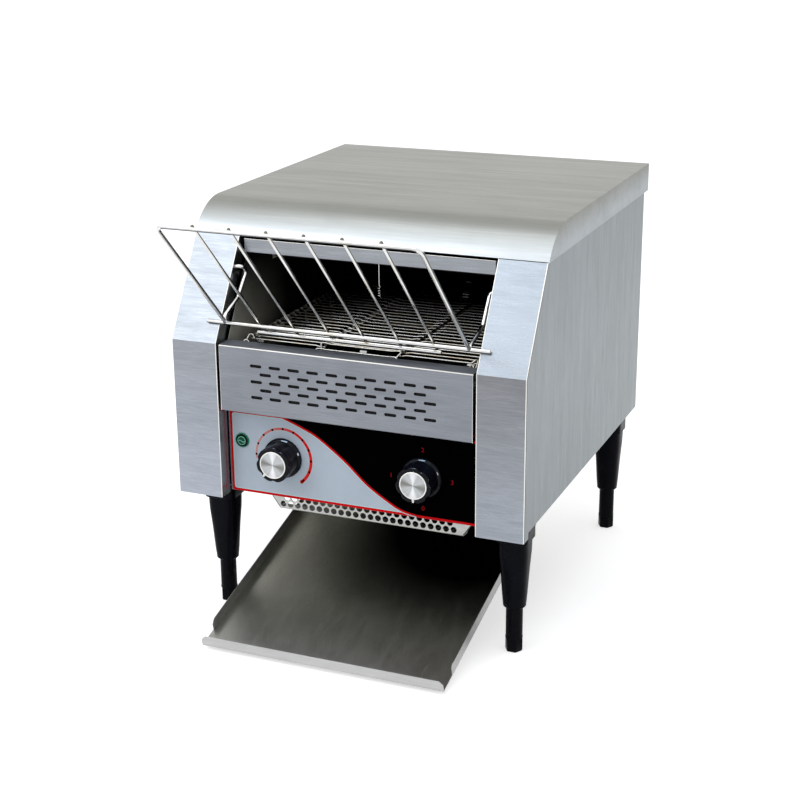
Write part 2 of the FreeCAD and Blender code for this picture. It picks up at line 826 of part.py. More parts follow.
def catch_tray():
    """Sloped toast tray with a front lip, notched side walls and two rear hooks."""
    length = tray_length()
    floor = block(-tray_half_width, tray_half_width, 0, length, 0, thin_sheet)
    flat = tray_half_width - tray_lip_corner
    shoulder = tray_lip_height - tray_lip_corner
    lip_outline = [(-tray_half_width, 0), (tray_half_width, 0), (tray_half_width, shoulder),
                   (flat, tray_lip_height), (-flat, tray_lip_height), (-tray_half_width, shoulder)]
    lip = flat_face([vec(x, 0, z) for x, z in lip_outline]).extrude(vec(0, thin_sheet, 0))
    side_outline = [(tray_notch, 0), (tray_notch, tray_wall - tray_wall_chamfer),
                    (tray_notch + tray_wall_chamfer, tray_wall), (length, tray_wall), (length, 0)]
    walls = [yz_prism(side_outline, side * tray_half_width, side * (tray_half_width - thin_sheet))
             for side in (-1, 1)]
    body = tray_place(fuse([floor, lip] + walls))
    inner = hanger_rod_radius + running_gap
    outer = inner + thin_sheet
    centre = (hanger_y, hanger_z)
    tail_z = hanger_z - hanger_rod_radius
    root_z = tray_lip_z + math.tan(tray_slope) * (hanger_y - outer - tray_lip_y)
    hooks = []
    for side in (-1, 1):
        loop = [line_edge((hanger_y - outer, root_z), (hanger_y - outer, hanger_z)),
                arc_edge(centre, outer, math.pi, 0),
                line_edge((hanger_y + outer, hanger_z), (hanger_y + outer, tail_z)),
                line_edge((hanger_y + outer, tail_z), (hanger_y + inner, tail_z)),
                line_edge((hanger_y + inner, tail_z), (hanger_y + inner, hanger_z)),
                arc_edge(centre, inner, 0, math.pi),
                line_edge((hanger_y - inner, hanger_z), (hanger_y - inner, root_z)),
                line_edge((hanger_y - inner, root_z), (hanger_y - outer, root_z))]
        middle = side * hook_tongue_x
        hooks.append(edges_prism(loop, middle - hook_tongue_half, middle + hook_tongue_half))
    return fuse([body] + hooks)


def tray_hanger():
    """Cross rod under the rear of the base, held by two lugs."""
    start = vec(-hanger_lug_x, hanger_y, hanger_z)
    rod = faceted_rod(start, X_AXIS, hanger_rod_radius, 2 * hanger_lug_x)
    lugs = []
    for side in (-1, 1):
        lugs.append(block(side * hanger_lug_x, side * (hanger_lug_x + bracket_sheet),
                          hanger_y - hanger_lug_half, hanger_y + hanger_lug_half,
                          hanger_z - hanger_lug_half, side_bottom_z))
    return fuse([rod] + lugs)


def tray_rests():
    """Two hanging straps with inward ledges that the tray's floor lies on."""
    rests = []
    for side in (-1, 1):
        inner = side * (tray_half_width + rest_side_gap)
        outer = inner + side * bracket_sheet
        middle = (rest_y - tray_lip_y) / math.cos(tray_slope)
        ledge = block(outer, inner - side * rest_ledge, middle - rest_half_length, middle + rest_half_length,
                      -running_gap - bracket_sheet, -running_gap)
        ledge = tray_place(ledge)
        low_z = ledge.BoundBox.ZMin + bracket_sheet
        strap_y = (ledge.BoundBox.YMin + ledge.BoundBox.YMax) / 2
        strap = block(outer, inner, strap_y - rest_half_length / 2, strap_y + rest_half_length / 2,
                      low_z, side_bottom_z)
        rests.append(fuse([ledge, strap]))
    return rests


# Belt and shafts

def belt_loop_length():
    return 2 * (belt_rear_y - belt_front_y) + 2 * math.pi * belt_radius


def belt_frame(distance):
    """Place on the belt's loop: centre point, and the turn of the belt's plane about X."""
    run = belt_rear_y - belt_front_y
    bend = math.pi * belt_radius
    distance = distance % belt_loop_length()
    if distance < run:
        return (belt_front_y + distance, belt_top_z), 0
    distance -= run
    if distance < bend:
        turn = distance / belt_radius
        return on_arc((belt_rear_y, shaft_z), belt_radius, math.pi / 2 - turn), -turn
    distance -= bend
    if distance < run:
        return (belt_rear_y - distance, shaft_z - belt_radius), -math.pi
    turn = (distance - run) / belt_radius
    return on_arc((belt_front_y, shaft_z), belt_radius, -math.pi / 2 - turn), -math.pi - turn


def strand_outline(pitch):
    """Outline of one flat wire strand, which steps forward to its neighbour's line at two joints."""
    half_step = (belt_wire + belt_joint_gap) / 2
    middle = pitch
    hook = pitch * belt_hook_share
    path = [(-belt_half_width, hook), (-belt_half_width, 0),
            (-belt_joint_x - half_step, 0), (-belt_joint_x + half_step, middle),
            (belt_joint_x - half_step, middle), (belt_joint_x + half_step, 0),
            (belt_half_width, 0), (belt_half_width, hook)]
    left = offset_path(path, -belt_wire / 2)
    right = offset_path(path, belt_wire / 2)
    return left + right[::-1]


def conveyor_belt():
    """Endless belt of bent cross wires around the two shafts."""
    pitch = belt_loop_length() / belt_strands
    outline = strand_outline(pitch)
    corners = [vec(x, s, -belt_wire / 2) for x, s in outline]
    strand = Part.Face(Part.makePolygon(corners + corners[:1])).extrude(vec(0, 0, belt_wire))
    strands = []
    for index in range(belt_strands):
        (y, z), turn = belt_frame(index * pitch)
        placed = strand.copy()
        placed.rotate(vec(0, 0, 0), X_AXIS, math.degrees(turn))
        placed.translate(vec(0, y, z))
        strands.append(placed)
    return strands


def toothed_wheel(y, z, x0, x1, tip_radius, tooth_height, teeth):
    """Wheel with straight-sided teeth, pulled along X."""
    points = []
    step = 2 * math.pi / teeth
    for tooth in range(teeth):
        for share in (-tooth_root_share, -tooth_tip_share, tooth_tip_share, tooth_root_share):
            radius = tip_radius - tooth_height if abs(share) == tooth_root_share else tip_radius
            points.append(on_arc((y, z), radius, (tooth + share) * step))
    return yz_prism(points, x0, x1)


def belt_shaft(y, right_x):
    """Six-sided shaft with round journals and the toothed wheels that carry the belt."""
    inner = shaft_end_x - journal_length
    shapes = [faceted_rod(vec(-shaft_end_x, y, shaft_z), X_AXIS, shaft_radius, journal_length),
              faceted_rod(vec(inner, y, shaft_z), X_AXIS, shaft_radius, journal_length),
              hexagon_prism(vec(-inner, y, shaft_z), X_AXIS, shaft_radius, 2 * inner)]
    if right_x > shaft_end_x:
        seat = vec(shaft_end_x, y, shaft_z)
        shapes.append(hexagon_prism(seat, X_AXIS, shaft_radius * seat_share, right_x - shaft_end_x))
    tip = belt_radius - belt_wire / 2 - running_gap
    for share in wheel_place_shares:
        x = share * belt_half_width
        shapes.append(toothed_wheel(y, shaft_z, x - wheel_width / 2, x + wheel_width / 2, tip,
                                    wheel_tooth_height, wheel_teeth))
    return fuse(shapes)


def shaft_bushes():
    """Square bearing blocks in the chamber's side walls, one at each end of both shafts."""
    bushes = []
    for side in (-1, 1):
        inner = side * (front_half_width - bush_proud)
        for y in (belt_front_y, belt_rear_y):
            body = block(inner, inner + side * bush_length, y - bush_half, y + bush_half,
                         shaft_z - bush_half, shaft_z + bush_half)
            bore = x_rod(y, shaft_z, shaft_radius + shaft_clearance, inner - side * overrun,
                         inner + side * (bush_length + overrun))
            bushes.append(body.cut(bore))
    return bushes


def sprocket_radius(teeth):
    return chain_pitch / (2 * math.sin(math.pi / teeth))


def chain_loop():
    """Drive chain as a closed band between the two sprockets."""
    first = (motor_y, motor_z, sprocket_radius(motor_sprocket_teeth))
    second = (belt_rear_y, shaft_z, sprocket_radius(drive_sprocket_teeth))
    way = math.atan2(second[1] - first[1], second[0] - first[0])
    gap = math.hypot(second[0] - first[0], second[1] - first[1])
    lean = math.acos((second[2] - first[2]) / gap)
    turns = ((first, way + math.pi - lean, 2 * lean), (second, way - math.pi + lean, 2 * math.pi - 2 * lean))
    bands = []
    for grow in (running_gap, running_gap + chain_thickness):
        points = []
        for (y, z, radius), start, sweep in turns:
            step_angle = sweep / chain_turn_steps
            corner_radius = (radius + grow) / math.cos(step_angle / 2)
            for step in range(chain_turn_steps + 1):
                points.append(on_arc((y, z), corner_radius, start + step_angle * step))
        bands.append(yz_prism(points, chain_x, chain_x + chain_width))
    return bands[1].cut(bands[0])


def sprocket(y, z, teeth, seat_half):
    """Chain sprocket with a six-sided hole for its seat on the shaft."""
    tip = sprocket_radius(teeth)
    wheel = toothed_wheel(y, z, chain_x, chain_x + chain_width, tip, sprocket_tooth_height, teeth)
    hole = hexagon_prism(vec(chain_x - overrun, y, z), X_AXIS, seat_half, chain_width + 2 * overrun)
    return wheel.cut(hole)


# Heating chamber

def liner(side):
    """Dark side wall of the heating chamber and of the toast chute."""
    slant = offset_path(front_profile(column_top_y, column_top_z), column_flange + sheet)
    front = slant[0][0]
    top_y = slant[2][0] + (chamber_top_z - slant[2][1]) / math.tan(slant_angle)
    points = [(front, shield_z), slant[1], (top_y, chamber_top_z), (chamber_rear_y, chamber_top_z),
              (chamber_rear_y, base_top_z), (exit_front_y, base_top_z), (exit_front_y, shield_z)]
    inner = side * front_half_width
    plate = yz_prism(points, inner, inner + side * thin_sheet)
    cuts = []
    places = [(y, shaft_z, bush_half) for y in (belt_front_y, belt_rear_y)]
    places += [(y, z, heater_cap_half) for y, z in heater_places()]
    for y, z, half in places:
        cuts.append(block(inner - overrun, inner + overrun, y - half, y + half, z - half, z + half))
    return plate.cut(cuts)


def heater_places():
    upper = [(upper_heater_first_y + index * upper_heater_pitch, upper_heater_z)
             for index in range(upper_heaters)]
    lower = [(lower_heater_first_y + index * lower_heater_pitch, lower_heater_z)
             for index in range(lower_heaters)]
    return upper + lower


def heater_tubes(places):
    tubes = []
    for y, z in places:
        start = vec(-front_half_width, y, z)
        tubes.append(sided_bar(start, X_AXIS, heater_radius, 2 * front_half_width, bar_sides))
    return tubes


def heater_caps():
    """Ceramic end blocks of the heating tubes, in the chamber's side walls, with their terminal tabs."""
    caps = []
    half = heater_cap_half
    for y, z in heater_places():
        for side in (-1, 1):
            start = side * front_half_width
            end = start + side * heater_cap_length
            cap = block(start, end, y - half, y + half, z - half, z + half)
            tab = block(end, end + side * heater_terminal_length, y - heater_tab_thickness / 2,
                        y + heater_tab_thickness / 2, z - heater_tab_half, z + heater_tab_half)
            caps.append(fuse([cap, tab]))
    return caps


def upper_reflector():
    points = [(chute_y - sheet, reflector_z), (reflector_front_y, reflector_z),
              (reflector_front_y, reflector_z - reflector_apron)]
    return yz_strip(points, -thin_sheet, -front_half_width, front_half_width)


def lower_reflector():
    points = [(lower_reflector_front_y, lower_reflector_z + lower_reflector_wall),
              (lower_reflector_front_y, lower_reflector_z), (lower_reflector_rear_y, lower_reflector_z),
              (lower_reflector_rear_y, lower_reflector_z + lower_reflector_wall)]
    return yz_strip(points, thin_sheet, -front_half_width, front_half_width)


def heat_shield():
    """Level sheet between the belt's lower run and the electrical bay."""
    front = panel_y + panel_sheet
    return block(-front_half_width, front_half_width, front, exit_front_y, shield_z - thin_sheet, shield_z)


def heater_hanger():
    """Thin rod that hangs from the upper reflector, with a coiled tip."""
    tip = vec(0, hanger_wire_y, hanger_tip_low_z)
    length = reflector_z - thin_sheet - hanger_tip_low_z
    shapes = [sided_bar(tip, Z_AXIS, hanger_wire_radius, length, wire_sides)]
    pitch = (hanger_wire_low_z - hanger_tip_low_z) / hanger_tip_rings
    for index in range(hanger_tip_rings):
        start = tip + Z_AXIS * (index * pitch)
        shapes.append(sided_bar(start, Z_AXIS, hanger_tip_radius, pitch / 2, wire_sides))
    return fuse(shapes)


def toast_chute():
    """Rear sheet that turns the falling toast forward onto the tray."""
    turn = math.radians(chute_turn_deg)
    centre = (chute_y - chute_bend_radius, chute_bend_z)
    inner = chute_bend_radius
    outer = chute_bend_radius + thin_sheet
    ends = []
    for radius in (inner, outer):
        spot = on_arc(centre, radius, -turn)
        way = (-math.sin(turn), -math.cos(turn))
        ends.append((spot, (spot[0] + way[0] * chute_tail, spot[1] + way[1] * chute_tail)))
    top = reflector_z - thin_sheet
    edges = [line_edge((chute_y, top), (chute_y, chute_bend_z)), arc_edge(centre, inner, 0, -turn),
             line_edge(*ends[0]), line_edge(ends[0][1], ends[1][1]), line_edge(ends[1][1], ends[1][0]),
             arc_edge(centre, outer, -turn, 0),
             line_edge((chute_y + thin_sheet, chute_bend_z), (chute_y + thin_sheet, top)),
             line_edge((chute_y + thin_sheet, top), (chute_y, top))]
    return edges_prism(edges, -front_half_width, front_half_width)


# Controls

def knob(x):
    """Black knob with a round base, a grip with seven lobes and a recessed face."""
    back = panel_y - running_gap
    face = back - knob_length
    base = sided_bar(vec(x, back - knob_flange_depth, knob_z), Y_AXIS, knob_flange_radius,
                     knob_flange_depth, knob_sides)
    points = []
    for lobe in range(knob_lobes):
        for share in knob_lobe_shares:
            radius = knob_valley_radius if share == min(knob_lobe_shares) else knob_body_radius
            angle = (lobe + share) * 2 * math.pi / knob_lobes + math.pi / 2
            points.append(vec(x + radius * math.cos(angle), face, knob_z + radius * math.sin(angle)))
    grip = flat_face(points).extrude(vec(0, knob_length, 0))
    recess = sided_bar(vec(x, face, knob_z), Y_AXIS, knob_cap_radius, knob_cap_recess, knob_sides)
    bore_face = face + 2 * knob_cap_recess
    bore = sided_bar(vec(x, bore_face, knob_z), Y_AXIS, spindle_radius, back - bore_face, bar_sides)
    return fuse([base, grip]).cut([recess, bore])


def knob_cap(x):
    """Turned disc in the knob's face."""
    front = panel_y - running_gap - knob_length - knob_cap_proud
    depth = knob_cap_proud + knob_cap_recess
    return sided_bar(vec(x, front, knob_z), Y_AXIS, knob_cap_radius, depth, knob_sides)


def spindle(x):
    front = panel_y - running_gap - knob_length + 2 * knob_cap_recess
    return y_rod(x, knob_z, spindle_radius, front, panel_y + panel_sheet + spindle_reach)


def bored_for_spindle(x, solid):
    """A body behind the panel with the blind bore that its spindle turns in."""
    start = vec(x, panel_y + panel_sheet - overrun, knob_z)
    depth = overrun + spindle_reach + spindle_clearance
    return solid.cut(sided_bar(start, Y_AXIS, spindle_radius + spindle_clearance, depth, bar_sides))


def speed_controller():
    start = vec(-knob_x, panel_y + panel_sheet, knob_z)
    can = sided_bar(start, Y_AXIS, control_body_radius, control_body_depth, bar_sides)
    return bored_for_spindle(-knob_x, can)


def selector_switch():
    back = panel_y + panel_sheet
    body = block(knob_x - switch_body_half, knob_x + switch_body_half, back, back + switch_body_depth,
                 knob_z - switch_body_half, knob_z + switch_body_half)
    return bored_for_spindle(knob_x, body)


def lamp_bezel():
    """Ring on the panel with the lamp's body behind it, hollow for the lens."""
    front = vec(-lamp_x, panel_y - lamp_bezel_height, lamp_z)
    ring = sided_bar(front, Y_AXIS, lamp_bezel_radius, lamp_bezel_height, knob_sides)
    body = sided_bar(vec(-lamp_x, panel_y, lamp_z), Y_AXIS, lamp_lens_radius, lamp_body_depth, bar_sides)
    pocket = sided_bar(front, Y_AXIS, lamp_lens_radius - sheet, lamp_body_depth / 2, bar_sides)
    return fuse([ring, body]).cut(pocket)


def lamp_lens():
    """Lens that stands a little out of the lamp's ring."""
    front = vec(-lamp_x, panel_y - lamp_bezel_height - lamp_lens_proud, lamp_z)
    length = lamp_lens_proud + lamp_body_depth / 2
    return sided_bar(front, Y_AXIS, lamp_lens_radius - sheet, length, bar_sides)


# Drive and fan

def gear_motor():
    """Gearbox with its motor can, the pocket of its last gear, and the plate that closes it."""
    end_x = gearbox_x + gearbox_length
    box = block(gearbox_x, end_x, motor_y - gearbox_half, motor_y + gearbox_half,
                motor_z - gearbox_half, motor_z + gearbox_half)
    long_edges = [edge for edge in box.Edges if edge.BoundBox.XLength > gearbox_length / 2]
    box = box.makeChamfer(gearbox_chamfer, long_edges)
    can_start = vec(gearbox_x - motor_can_length, motor_y, motor_z)
    can = sided_bar(can_start, X_AXIS, motor_can_radius, motor_can_length, knob_sides)
    bore = x_rod(motor_y, motor_z, motor_shaft_radius + shaft_clearance, gearbox_x + gearbox_length / 2,
                 end_x + overrun)
    pocket = sided_bar(vec(end_x, motor_y, motor_z), X_AXIS, output_gear_radius + output_gear_room,
                       -output_gear_width - 2 * output_gear_room - gearbox_plate, knob_sides)
    plate = block(end_x - gearbox_plate, end_x, motor_y - gearbox_half, motor_y + gearbox_half,
                  motor_z - gearbox_half, motor_z + gearbox_half)
    whole = fuse([box, can])
    return [whole.cut([plate, bore, pocket]), plate.common(box).cut(bore)]


def motor_bracket():
    """Folded stand that carries the gearbox on the base."""
    seat_z = motor_z - gearbox_half
    end_x = gearbox_x + gearbox_length
    front = motor_y - gearbox_half
    low = block(gearbox_x, end_x, front - bracket_foot, motor_y + gearbox_half,
                base_top_z, base_top_z + bracket_sheet)
    high = block(gearbox_x, end_x, front, motor_y + gearbox_half, seat_z - bracket_sheet, seat_z)
    web = block(gearbox_x, end_x, front, front + bracket_sheet, base_top_z, seat_z)
    return fuse([low, high, web])


def motor_shaft():
    """Output shaft of the gearbox with its gear and a six-sided seat for the sprocket."""
    start = gearbox_x + gearbox_length / 2 + shaft_clearance
    round_end = chain_x - sprocket_end
    shaft = faceted_rod(vec(start, motor_y, motor_z), X_AXIS, motor_shaft_radius, round_end - start)
    seat = hexagon_prism(vec(round_end, motor_y, motor_z), X_AXIS, motor_shaft_radius * seat_share,
                         chain_width + 2 * sprocket_end)
    gear_end = gearbox_x + gearbox_length - gearbox_plate - output_gear_room
    gear = toothed_wheel(motor_y, motor_z, gear_end - output_gear_width, gear_end, output_gear_radius,
                         output_tooth_height, output_gear_teeth)
    return fuse([shaft, seat, gear])


def fan_frame():
    """Square fan housing with corner holes and struts to the motor seat."""
    low = base_top_z
    high = low + fan_depth
    frame = block(fan_x - fan_half, fan_x + fan_half, fan_y - fan_half, fan_y + fan_half, low, high)
    uprights = [edge for edge in frame.Edges if edge.BoundBox.ZLength > fan_depth / 2]
    frame = frame.makeChamfer(fan_corner, uprights)
    below = vec(fan_x, fan_y, low - overrun)
    frame = frame.cut(sided_bar(below, Z_AXIS, fan_bore_radius, fan_depth + 2 * overrun, knob_sides))
    strut = fan_strut_height
    shapes = [frame, sided_bar(vec(fan_x, fan_y, low), Z_AXIS, fan_hub_radius, strut, bar_sides)]
    reach = fan_bore_radius + sheet
    thick = fan_strut_width / 2
    for half_x, half_y in ((thick, reach), (reach, thick)):
        shapes.append(block(fan_x - half_x, fan_x + half_x, fan_y - half_y, fan_y + half_y, low, low + strut))
    pin = faceted_rod(vec(fan_x, fan_y, low), Z_AXIS, spindle_radius - spindle_clearance, fan_depth / 2)
    return fuse(shapes + [pin])


def fan_rotor():
    """Fan hub with tilted blades."""
    low = base_top_z + fan_strut_height + running_gap
    high = base_top_z + fan_depth - running_gap
    hub = sided_bar(vec(fan_x, fan_y, low), Z_AXIS, fan_hub_radius, high - low, bar_sides)
    bore = z_rod(fan_x, fan_y, spindle_radius, low - overrun, low + fan_depth / 2)
    middle = (low + high) / 2
    length = fan_blade_radius - fan_hub_radius + sheet
    shapes = [hub]
    for index in range(fan_blades):
        blade = Part.makeBox(length, fan_blade_height, fan_blade_thickness,
                             vec(fan_hub_radius - sheet, -fan_blade_height / 2, -fan_blade_thickness / 2))
        blade.rotate(vec(0, 0, 0), X_AXIS, fan_blade_tilt_deg)
        blade.rotate(vec(0, 0, 0), Z_AXIS, 360 * index / fan_blades)
        blade.translate(vec(fan_x, fan_y, middle))
        shapes.append(blade)
    return fuse(shapes).cut(bore)


def cable_gland():
    """Moulded inlet at the back, with an empty bore."""
    outer = back_y + sheet
    flange = hexagon_prism(vec(gland_x, outer, gland_z), Y_AXIS, gland_flange_radius, gland_flange)
    nose = sided_bar(vec(gland_x, back_y, gland_z), Y_AXIS, gland_radius,
                     sheet + gland_flange + gland_length, knob_sides)
    inner = vec(gland_x, back_y - gland_flange, gland_z)
    nut = hexagon_prism(inner, Y_AXIS, gland_flange_radius, gland_flange)
    bore = sided_bar(vec(gland_x, back_y - gland_flange - overrun, gland_z), Y_AXIS, gland_bore_radius,
                     sheet + 2 * gland_flange + gland_length + 2 * overrun, bar_sides)
    return fuse([flange, nose, nut]).cut(bore)


def terminal_block():
    body = block(block_x - block_width / 2, block_x + block_width / 2, block_y - block_length - block_width,
                 block_y - block_width, base_top_z, base_top_z + block_height)
    step = block_length / block_ways
    cuts = []
    for index in range(block_ways):
        y = block_y - block_width - block_length + step / 2 + index * step
        cuts.append(block(block_x - step / 4, block_x + step / 4, y - step / 4, y + step / 4,
                          base_top_z + block_height / 2, base_top_z + block_height + overrun))
    return body.cut(cuts)


def back_screws():
    """Six-sided screw heads on the side panels' rear flanges, which hold the back panel."""
    screws = []
    height = lip_z + flange_width - base_top_z
    for side in (-1, 1):
        x = side * (skin_x - back_screw_inset)
        for index in range(back_screw_rows):
            share = back_screw_first_share + index * (1 - 2 * back_screw_first_share) / (back_screw_rows - 1)
            start = vec(x, side_rear_y, base_top_z + share * height)
            screws.append(hexagon_prism(start, Y_AXIS, screw_head_half, screw_head_height))
    return screws


def leg_nuts():
    nuts = []
    for x, y in leg_places().values():
        nuts.append(hexagon_prism(vec(x, y, base_top_z), Z_AXIS, leg_nut_half, leg_nut_height))
    return nuts


def leg_places():
    return {"front_left": (-leg_x, leg_front_y), "front_right": (leg_x, leg_front_y),
            "rear_left": (-leg_x, leg_rear_y), "rear_right": (leg_x, leg_rear_y)}


def main():
    os.makedirs("parts", exist_ok=True)
    save("side_panel_left", side_panel(-1))
    save("side_panel_right", side_panel(1))
    save("top_cover", top_cover())
    save("base_pan", base_pan())
    save("back_panel", back_panel())
    save("header_strip", header_strip())
    save("vent_panel", vent_panel())
    save("control_panel", control_panel())
    save("lower_guard", lower_guard())
    for name, (x, y) in leg_places().items():
        save("leg_" + name, leg_sleeve(x, y))
        save("foot_" + name, foot(x, y))
    save("leg_nuts", group(leg_nuts()))
    save("bread_rack", bread_rack())
    save("hook_studs", group(hook_studs()))
    save("catch_tray", catch_tray())
    save("tray_hanger", tray_hanger())
    save("tray_rests", group(tray_rests()))
    save("conveyor_belt", group(conveyor_belt()))
    save("drive_shaft", belt_shaft(belt_rear_y, chain_x + chain_width + sprocket_end))
    save("idler_shaft", belt_shaft(belt_front_y, shaft_end_x))
    save("shaft_bushes", group(shaft_bushes()))
    save("drive_chain", chain_loop())
    save("drive_sprocket", sprocket(belt_rear_y, shaft_z, drive_sprocket_teeth, shaft_radius * seat_share))
    save("motor_sprocket", sprocket(motor_y, motor_z, motor_sprocket_teeth, motor_shaft_radius * seat_share))
    save("motor_shaft", motor_shaft())
    save("gear_motor", group(gear_motor()))
    save("motor_bracket", motor_bracket())
    save("liner_left", liner(-1))
    save("liner_right", liner(1))
    places = heater_places()
    save("upper_heaters", group(heater_tubes(places[:upper_heaters])))
    save("lower_heaters", group(heater_tubes(places[upper_heaters:])))
    save("heater_caps", group(heater_caps()))
    save("upper_reflector", upper_reflector())
    save("lower_reflector", lower_reflector())
    save("heat_shield", heat_shield())
    save("heater_hanger", heater_hanger())
    save("toast_chute", toast_chute())
    save("speed_knob", knob(-knob_x))
    save("speed_knob_cap", knob_cap(-knob_x))
    save("speed_spindle", spindle(-knob_x))
    save("speed_controller", speed_controller())
    save("selector_knob", knob(knob_x))
    save("selector_knob_cap", knob_cap(knob_x))
    save("selector_spindle", spindle(knob_x))
    save("selector_switch", selector_switch())
    save("lamp_bezel", lamp_bezel())
    save("lamp_lens", lamp_lens())
    save("fan_frame", fan_frame())
    save("fan_rotor", fan_rotor())
    save("cable_gland", cable_gland())
    save("terminal_block", terminal_block())
    save("back_screws", group(back_screws()))


main()
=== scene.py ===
import json
import math
import random

import bmesh
import bpy
from mathutils import Matrix, Vector


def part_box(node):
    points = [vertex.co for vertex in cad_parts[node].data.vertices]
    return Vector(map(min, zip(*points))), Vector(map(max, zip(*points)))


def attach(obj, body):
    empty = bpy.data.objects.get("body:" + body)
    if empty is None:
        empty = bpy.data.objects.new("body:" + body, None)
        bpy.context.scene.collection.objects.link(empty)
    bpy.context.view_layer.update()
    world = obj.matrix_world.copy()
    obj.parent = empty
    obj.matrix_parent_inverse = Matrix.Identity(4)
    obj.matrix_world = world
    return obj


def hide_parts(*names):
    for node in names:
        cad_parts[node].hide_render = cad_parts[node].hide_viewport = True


# Looks of the conveyor toaster. Places are given in millimetres in the body's own frame: X to the
# right, Y from the front face of the columns to the back, Z up from the table. spot() turns them
# into metres in the frame of the model.

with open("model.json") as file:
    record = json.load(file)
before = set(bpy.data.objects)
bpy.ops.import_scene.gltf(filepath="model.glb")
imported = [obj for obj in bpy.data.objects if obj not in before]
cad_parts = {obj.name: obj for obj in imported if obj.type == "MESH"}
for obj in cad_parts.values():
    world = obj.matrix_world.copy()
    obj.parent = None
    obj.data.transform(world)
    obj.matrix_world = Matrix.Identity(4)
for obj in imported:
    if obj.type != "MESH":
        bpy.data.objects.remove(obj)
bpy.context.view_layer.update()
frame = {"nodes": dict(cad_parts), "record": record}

MM = 0.001
front_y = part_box("side_panel_left")[0].y


def spot(x, y, z):
    return Vector((x * MM, front_y + y * MM, z * MM))


# Camera
camera_spot = (610.10, -1319.98, 746.55)
camera_azimuth = 0.3953957
camera_elevation = 0.3256766
camera_roll = -0.0076961
camera_lens = 72.69
sensor = 36.0

# Light
world_level = 0.62
world_colour = (0.97, 0.985, 1.0)
background_level = 1.0
floor_level = 0.90
floor_glow = 0.55
floor_mirror_glow = 0.25
key_direction_deg = (-12.0, 74.0)
key_distance = 2.3
key_size = (2.6, 2.4)
key_radiance = 1.0
front_direction_deg = (-50.0, 38.0)
front_distance = 2.4
front_size = (1.7, 1.3)
front_radiance = 1.8
gloss_distance = 2.2
gloss_windows = {"gloss_window_left": ((-24.0, 56.0), (0.9, 0.6), 70.0, (0.55, 0.74, 1.0)),
                 "gloss_window_right": ((52.0, 6.0), (0.4, 0.4), 45.0, (0.92, 0.94, 1.0))}
glossy_nodes = ("speed_knob_grip", "selector_knob_grip")

# Sheets and panels
panel_y = 18.0
panel_half_width = 133.6
panel_bottom_z = 139.1
panel_top_z = 232.0
vent_bottom_z = 229.6
vent_top_z = 296.9
front_half_width = 131.5
sheet = 1.0
fold_segments = 2
fold_angle_deg = 28.0
slot_rows = 5
slots_in_row = 10
slot_pitch = 20.1
slot_row_pitch = 8.0
slot_shift = -1.2
vent_screen_x = (-108.0, 106.0)
vent_screen_half_height = 19.5
cover_fold_x = 183.5
brow_line = ((57.7, 392.8), (60.3, 396.81), (63.21, 400.6), (66.41, 404.15), (69.88, 407.43), (73.61, 410.42),
             (77.56, 413.11), (81.71, 415.48), (86.04, 417.5), (90.51, 419.18), (95.11, 420.49), (99.79, 421.44))

# Controls
knob_x = 74.0
knob_z = 181.4
knob_gap = 0.3
knob_length = 23.4
knob_flange_radius = 20.5
knob_flange_depth = 4.2
knob_grip_radius = 18.4
knob_lobes = 7
knob_lobe_depth = 1.6
knob_cap_radius = 13.9
knob_steps = 140
pointer_angles_deg = {"speed_knob": 230.0, "selector_knob": 270.0}
lamp_x = -118.9
lamp_z = 194.0
dial_x = -73.6
dial_radius = 30.0
dial_line_width = 2.4
dial_line_growth = 1.0
dial_rim = 0.5
spindle_hole_radius = 4.3
lamp_hole_radius = 5.3
print_red_border = 2.5
print_pale_border = 1.0
print_top_z = 222.2
print_black_top_z = 223.1
dial_ticks = 11
dial_start_deg = 188.5
dial_end_deg = -51.0
numeral_places = {"0": (75.0, 149.4), "1": (41.9, 179.3), "2": (74.8, 209.4), "3": (105.0, 180.3)}
numeral_size = 6.6

# Belt
belt_top_z = 292.5
belt_front_y = 46.0
belt_rear_y = 356.0
belt_radius = 24.0
belt_half_width = 121.0
belt_joint_x = 40.3
belt_strands = 75
belt_wire_radius = 0.9
shaded_flank_normals = (0.84, 0.93)
shaded_underside_normals = (-0.05, -0.5)
wire_shade_share = 0.92
wire_shade = (0.02, 0.02, 0.02)
belt_shade_fade_y = (245.0, 150.0)
belt_shade_fade_z = (286.5, 290.5)
liner_shade_fade_y = (150.0, 30.0)
liner_shade_fade_z = (365.0, 305.0)

# Rack
kink_z = 297.2
cover_edge_y = 57.7
cover_edge_z = 392.8
column_seam_bottom_z = 137.5
header_drop = 1.1
rack_rod_radius = 2.0
rack_wire_radius = 1.5
rack_half_width = 126.0
rack_play = -1.5
rack_rod_half_length = 145.8
rack_rod_along = 21.9
rack_top = (-110.7, 437.5)
rack_low = (17.4, 308.8)
rack_corner_radius = 9.0
rack_wires = 6
rack_wire_tail = 5.0
rack_tip = 0.0
rack_low_overlap = 5.0
weld_sink = 0.4
hook_lines = {-1: ((7.5, 324.0), (36.0, 336.0), (55.5, 358.0), (46.5, 365.0)),
              1: ((10.0, 319.5), (45.0, 330.0), (62.5, 353.5), (66.5, 357.0))}
hook_reach = 8.0
stud_reach = 130.4
stud_pin_radius = 2.2
stud_head_x = 131.0

# Guard under the controls
guard_y = 59.5
guard_bottom_z = 107.5
guard_top_z = 142.8
guard_bottom_half = 101.0
guard_slope_share = 0.70
guard_flange = 12.0
guard_hole_radius = 3.25
guard_hole_pitch = 8.15
guard_hole_shift = -3.0
guard_row_z = 112.9
guard_rows = 4
guard_holes = 24
guard_sheet = 0.8

